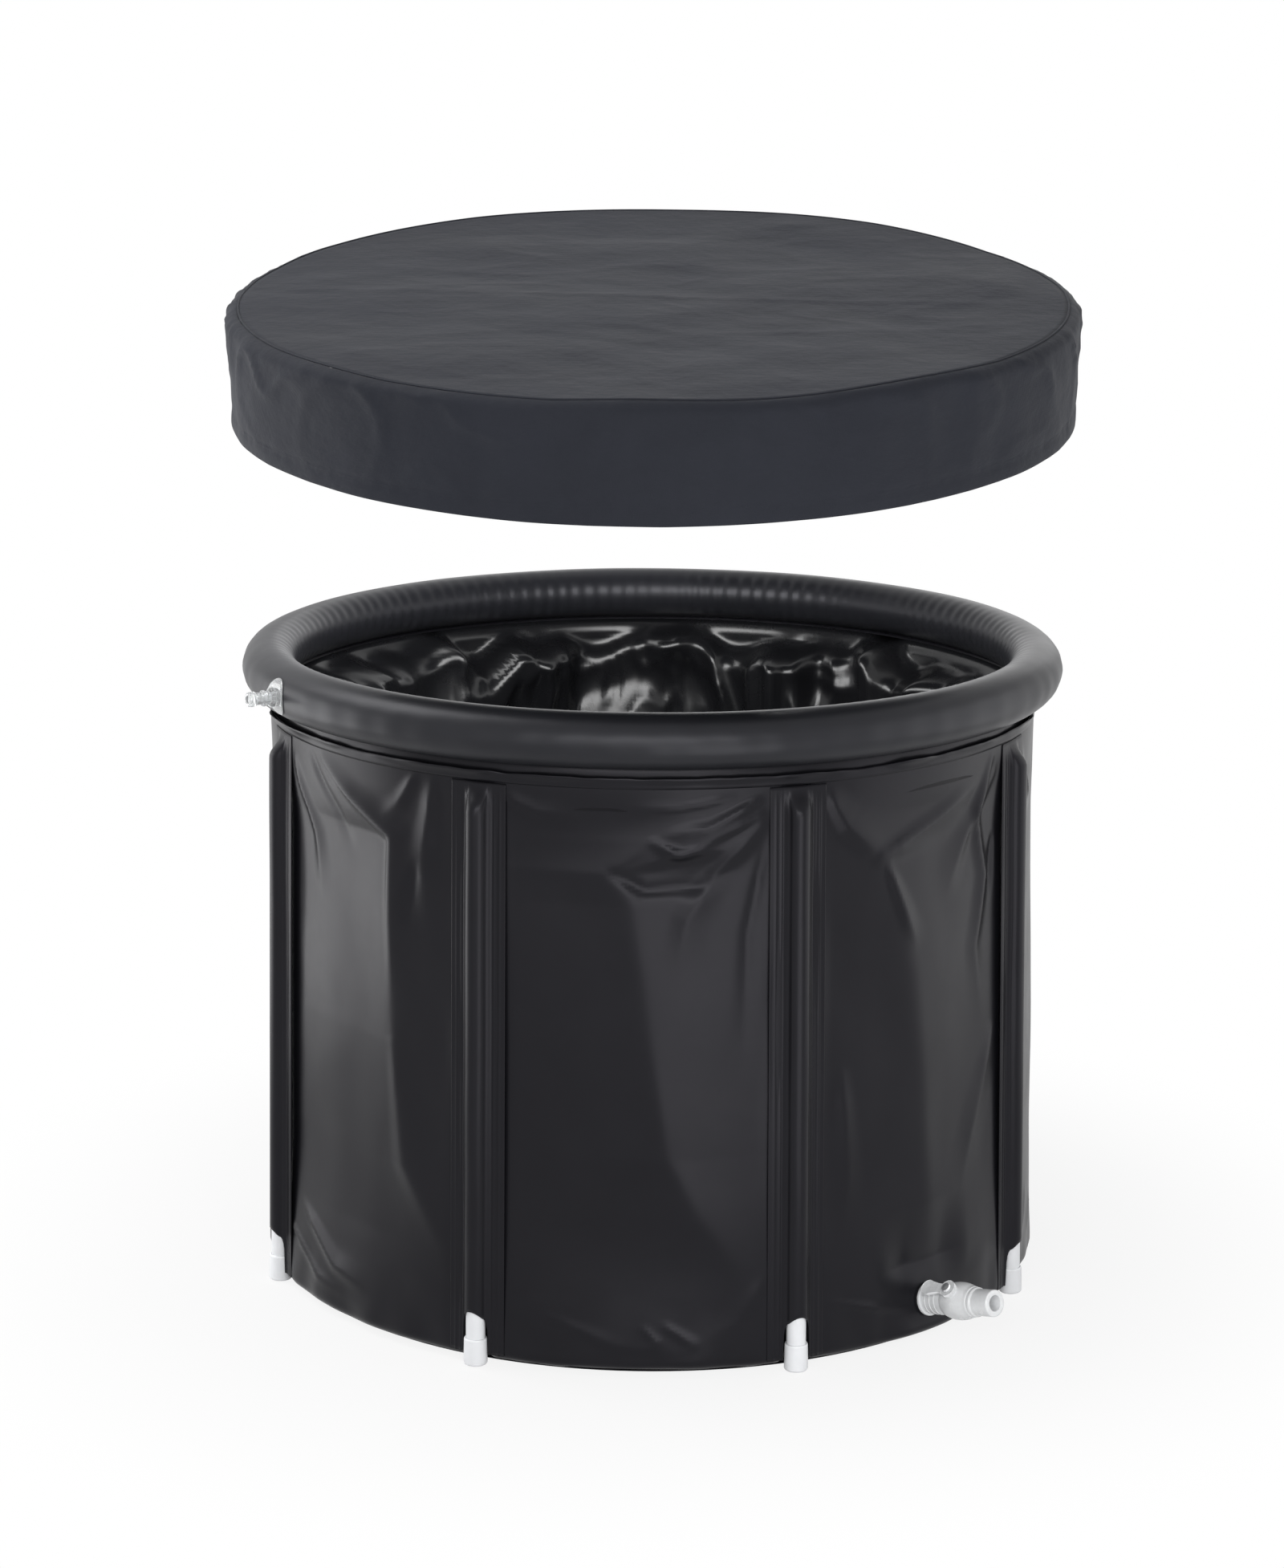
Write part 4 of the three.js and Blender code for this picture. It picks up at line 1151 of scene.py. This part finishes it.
def makeCoverTop():
    columns, rings = cover["columns"], cover["topRings"]
    angle, share = crossed(coverTurns, np.linspace(0, 1, rings + 1)[1:])
    radius = seamRadius * share
    x, y = radius * np.sin(angle), -radius * np.cos(angle)
    wavy = sum(depth * coverNoise(x, y, x * 0, scale, seed) for scale, seed, depth in cover["topNoises"])
    at, wide, depth = cover["creaseAcross"]
    wavy += depth * bell(y + cover["creaseLean"] * x, at, wide)
    at, wide, depth = cover["creaseDown"]
    wavy -= depth * bell(x, at, wide)
    crumple = coverNoise(x * cover["crumpleLong"], y, x * 0, *cover["crumpleNoise"])
    wavy += cover["crumple"] * pinched(crumple, cover["crumpleSharp"])
    # hollows end before the rim that the cloth rests on, swells only at the seam
    ends = [np.clip((end - share) * steep, 0, 1) for end, steep in (cover["sagEnd"], cover["riseEnd"])]
    wavy = np.where(wavy < 0, wavy * ends[0], wavy * ends[1])
    z = cover["topLift"] + wavy + seamLift(angle) * share ** cover["seamFade"]
    places = [coverMatrix @ (Vector((0, 0, cover["topLift"])) * mm), *coverPlaces(x, y, z)]
    faces = [(1 + a, 1 + d, 1 + c, 1 + b) for a, b, c, d in gridFaces(columns, rings)]
    faces += [(0, 1 + k * rings, 1 + ((k + 1) % columns) * rings) for k in range(columns)]
    top = makePiece("coverTop", places, faces, "cover", "cloth", ["cover_top"])
    markStitch(top, np.zeros(len(top.data.vertices)))
    thicken(top, cover["topThick"])
    return top


def skirtOutline():
    # a rolled shoulder, then straight down: radius and height
    shoulder, gap, rows = cover["shoulder"], cover["skirtGap"], cover["skirtRows"]
    outline = []
    for bend in np.linspace(0, math.pi / 2, cover["arcRows"]):
        reach = shoulder + gap
        outline.append((seamRadius + reach * math.sin(bend), reach * math.cos(bend) - shoulder))
    for k in range(1, rows):
        outline.append((cover["inner"] + gap, -shoulder - (cover["skirt"] - shoulder) * k / (rows - 1)))
    return np.array(outline)


def makeCoverSkirt():
    outline = skirtOutline()
    angle, row = crossed(coverTurns, np.arange(len(outline)))
    radius, z = outline[row, 0], outline[row, 1]
    x, y = np.sin(angle) * radius, -np.cos(angle) * radius
    down = np.clip(-z / cover["skirt"], 0, 1)
    broad = 0
    for drop, scale, seed, depth in (cover["broad"], cover["ruck"]):
        broad = broad + depth * coverNoise(x, y, z * drop, scale, seed)
    drop, scale, seed = cover["tuckNoise"]
    tuck = cover["tuck"] * pinched(coverNoise(x, y, z * drop, scale, seed), cover["tuckSharp"])
    sway = cover["puckerSway"] * coverNoise(x, y, z * 0, *cover["puckerNoise"])
    pucker = cover["pucker"] * np.sin(angle * cover["puckers"] + sway)
    hemAt = cover["hem"] - cover["skirt"]
    atHem = bell(z, hemAt, cover["hemWide"])
    atSeam = bell(z, cover["seamAt"], cover["seamWide"])
    steep, least = cover["hemLoose"]  # the cloth is held at the seam and the hem
    loose = np.clip(down * cover["seamLoose"], 0, 1) * np.clip((1 - down) * steep + least, 0, 1)
    gathered = bell(z, cover["gatherAt"], cover["gatherWide"]) + cover["gatherLow"] * loose
    radius = radius + np.clip(broad, *cover["outward"]) * loose + tuck * gathered
    radius += pucker * (atHem + cover["seamPucker"] * atSeam) - cover["hemDraw"] * atHem
    places = coverPlaces(
        np.sin(angle) * radius, -np.cos(angle) * radius, z + seamLift(angle) * (1 - down) ** 2)
    faces = gridFaces(cover["columns"], len(outline))[:, ::-1]
    skirt = makePiece("coverSkirt", places, faces, "cover", "cloth", ["cover_skirt", "cover_hem_elastic"])
    dash = (np.sin(angle * cover["stitches"]) > cover["stitchGap"]) * bell(z, hemAt, cover["stitchWide"])
    markStitch(skirt, dash.ravel())
    thicken(skirt, cover["skirtThick"])
    return skirt


def makeCoverSeam():
    # the cord where the top panel is sewn to the skirt
    sides = cover["cordSides"]
    angle, around = crossed(coverTurns, np.linspace(0, 2 * math.pi, sides, endpoint=False))
    radius = seamRadius + cover["cordWide"] * np.cos(around)
    beads = cover["cordBead"] * np.sin(angle * cover["cordBeads"])
    z = cover["topLift"] + cover["cordHigh"] * np.sin(around) + beads + seamLift(angle)
    places = coverPlaces(np.sin(angle) * radius, -np.cos(angle) * radius, z)
    cord = makePiece("coverSeam", places, tubeFaces(cover["columns"], sides), "cover", "cloth")
    markStitch(cord, np.zeros(len(cord.data.vertices)))
    return cord


top, skirt, cord = makeCoverTop(), makeCoverSkirt(), makeCoverSeam()
stage("cover sewn")


# floor, light and camera, in metres
studio = {
    "floor": 40, "below": 0.0005, "rough": 0.9, "paper": (0.56, 0.60), "shade": 0.14,
    "shadeReach": (0.4, 1.0), "fill": 0.22, "white": (1, 1, 1, 1),
}


def makeFloor():
    bpy.ops.mesh.primitive_plane_add(size=studio["floor"], location=(0, 0, -studio["below"]))
    floor = bpy.context.object
    floor.name = "studioFloor"
    paper = Look("studioPaper", Roughness=studio["rough"])
    dark, light = studio["paper"]
    paper.paint(paper.grain(2.0, 2, 0.5), (0.0, (dark, dark, dark)), (1.0, (light, light, light)))
    glow = paper.node("ShaderNodeEmission", inputs={"Color": studio["white"], "Strength": 1.0})
    far = paper.node("ShaderNodeVectorMath", {"operation": "LENGTH"}, {0: paper.place()}).out("Value")
    near = 1 - far.between(*studio["shadeReach"])
    seen = paper.shownWhite() * (1 - near * studio["shade"])  # a faint shadow shows near the tub
    own = Wire(paper, paper.surface.outputs[0])
    mix = paper.node("ShaderNodeMixShader", inputs={0: seen, 1: own, 2: glow.out(0)})
    paper.tree.links.new(mix.made.outputs[0], paper.tree.nodes["Material Output"].inputs["Surface"])
    floor.data.materials.append(paper.material)


def makeAir():
    world = bpy.data.worlds.new("studioAir")
    bpy.context.scene.world = world
    world.use_nodes = True
    air = Board(world.node_tree)
    back = air.tree.nodes["Background"]
    back.inputs["Color"].default_value = studio["white"]
    strength = air.shownWhite() * (1 - studio["fill"]) + studio["fill"]
    air.tree.links.new(strength.socket, back.inputs["Strength"])


# soft boxes that the camera doesn't see: place, aim, width and height, watts
lights = {
    "leftCard": ((-1.40, 0.0, 0.50), (-0.3, -0.2, 0.40), (0.9, 0.96), 8),
    "rightCard": ((1.45, -0.25, 0.62), (0.3, -0.2, 0.45), (1.5, 1.24), 6.5),
    "frontCard": ((0.37, -1.20, 0.32), (0.1, -0.4, 0.40), (0.56, 0.62), 2.6),
    "frontBox": ((0.0, -3.6, 1.70), (0, 0, 0.75), (3.0, 1.1), 52),
    "topBox": ((-1.9, 0.2, 3.2), (0, 0, 0.8), (1.8, 2.2), 64),
    "basinBox": ((-0.08, -0.20, 0.955), (0, 0.25, 0.5), (0.56, 0.26), 5.0),
    "backBox": ((0.6, 3.0, 1.5), (0, 0, 0.4), (2.4, 1.4), 9),
    "lowFill": ((-0.3, -3.0, 0.55), (0, 0, 0.3), (3.2, 0.6), 9),
}


def makeLights():
    for name, (place, aim, size, power) in lights.items():
        light = bpy.data.lights.new(name, "AREA")
        light.shape = "RECTANGLE"
        light.size, light.size_y = size
        light.energy = power
        lamp = addObject(name, light)
        lamp.location = place
        lamp.rotation_euler = (Vector(aim) - Vector(place)).to_track_quat("-Z", "Y").to_euler()
        lamp.visible_camera = False


# the camera that the photograph was matched with
view = {
    "unit": 0.4532, "distance": 9.3366, "height": 3.4301, "aside": -0.026, "pitch": 13.149, "roll": 0.0042,
    "azimuth": 2.17, "focalPixels": 4531.15, "framePixels": 1954, "sensor": 36,
}


def makeCamera():
    lens = bpy.data.cameras.new("photoCamera")
    lens.sensor_width = view["sensor"]
    lens.lens = view["focalPixels"] / view["framePixels"] * view["sensor"]
    camera = addObject("photoCamera", lens)
    pitch, roll = math.radians(view["pitch"]), view["roll"]
    ahead = Vector((0, math.cos(pitch), -math.sin(pitch)))
    upward = Vector((0, math.sin(pitch), math.cos(pitch)))
    right = Vector((1, 0, 0))
    level = right * math.cos(roll) + upward * math.sin(roll)
    rise = upward * math.cos(roll) - right * math.sin(roll)
    turn = Matrix((level, rise, -ahead)).transposed().to_4x4()
    spot = Vector((view["aside"], -view["distance"], view["height"])) * view["unit"]
    swing = Matrix.Rotation(math.radians(view["azimuth"]), 4, "Z")
    camera.matrix_world = swing @ Matrix.Translation(spot) @ turn
    bpy.context.scene.camera = camera


makeFloor()
makeAir()
makeLights()
makeCamera()
bpy.context.scene.view_settings.view_transform = "Standard"
stage("studio set")
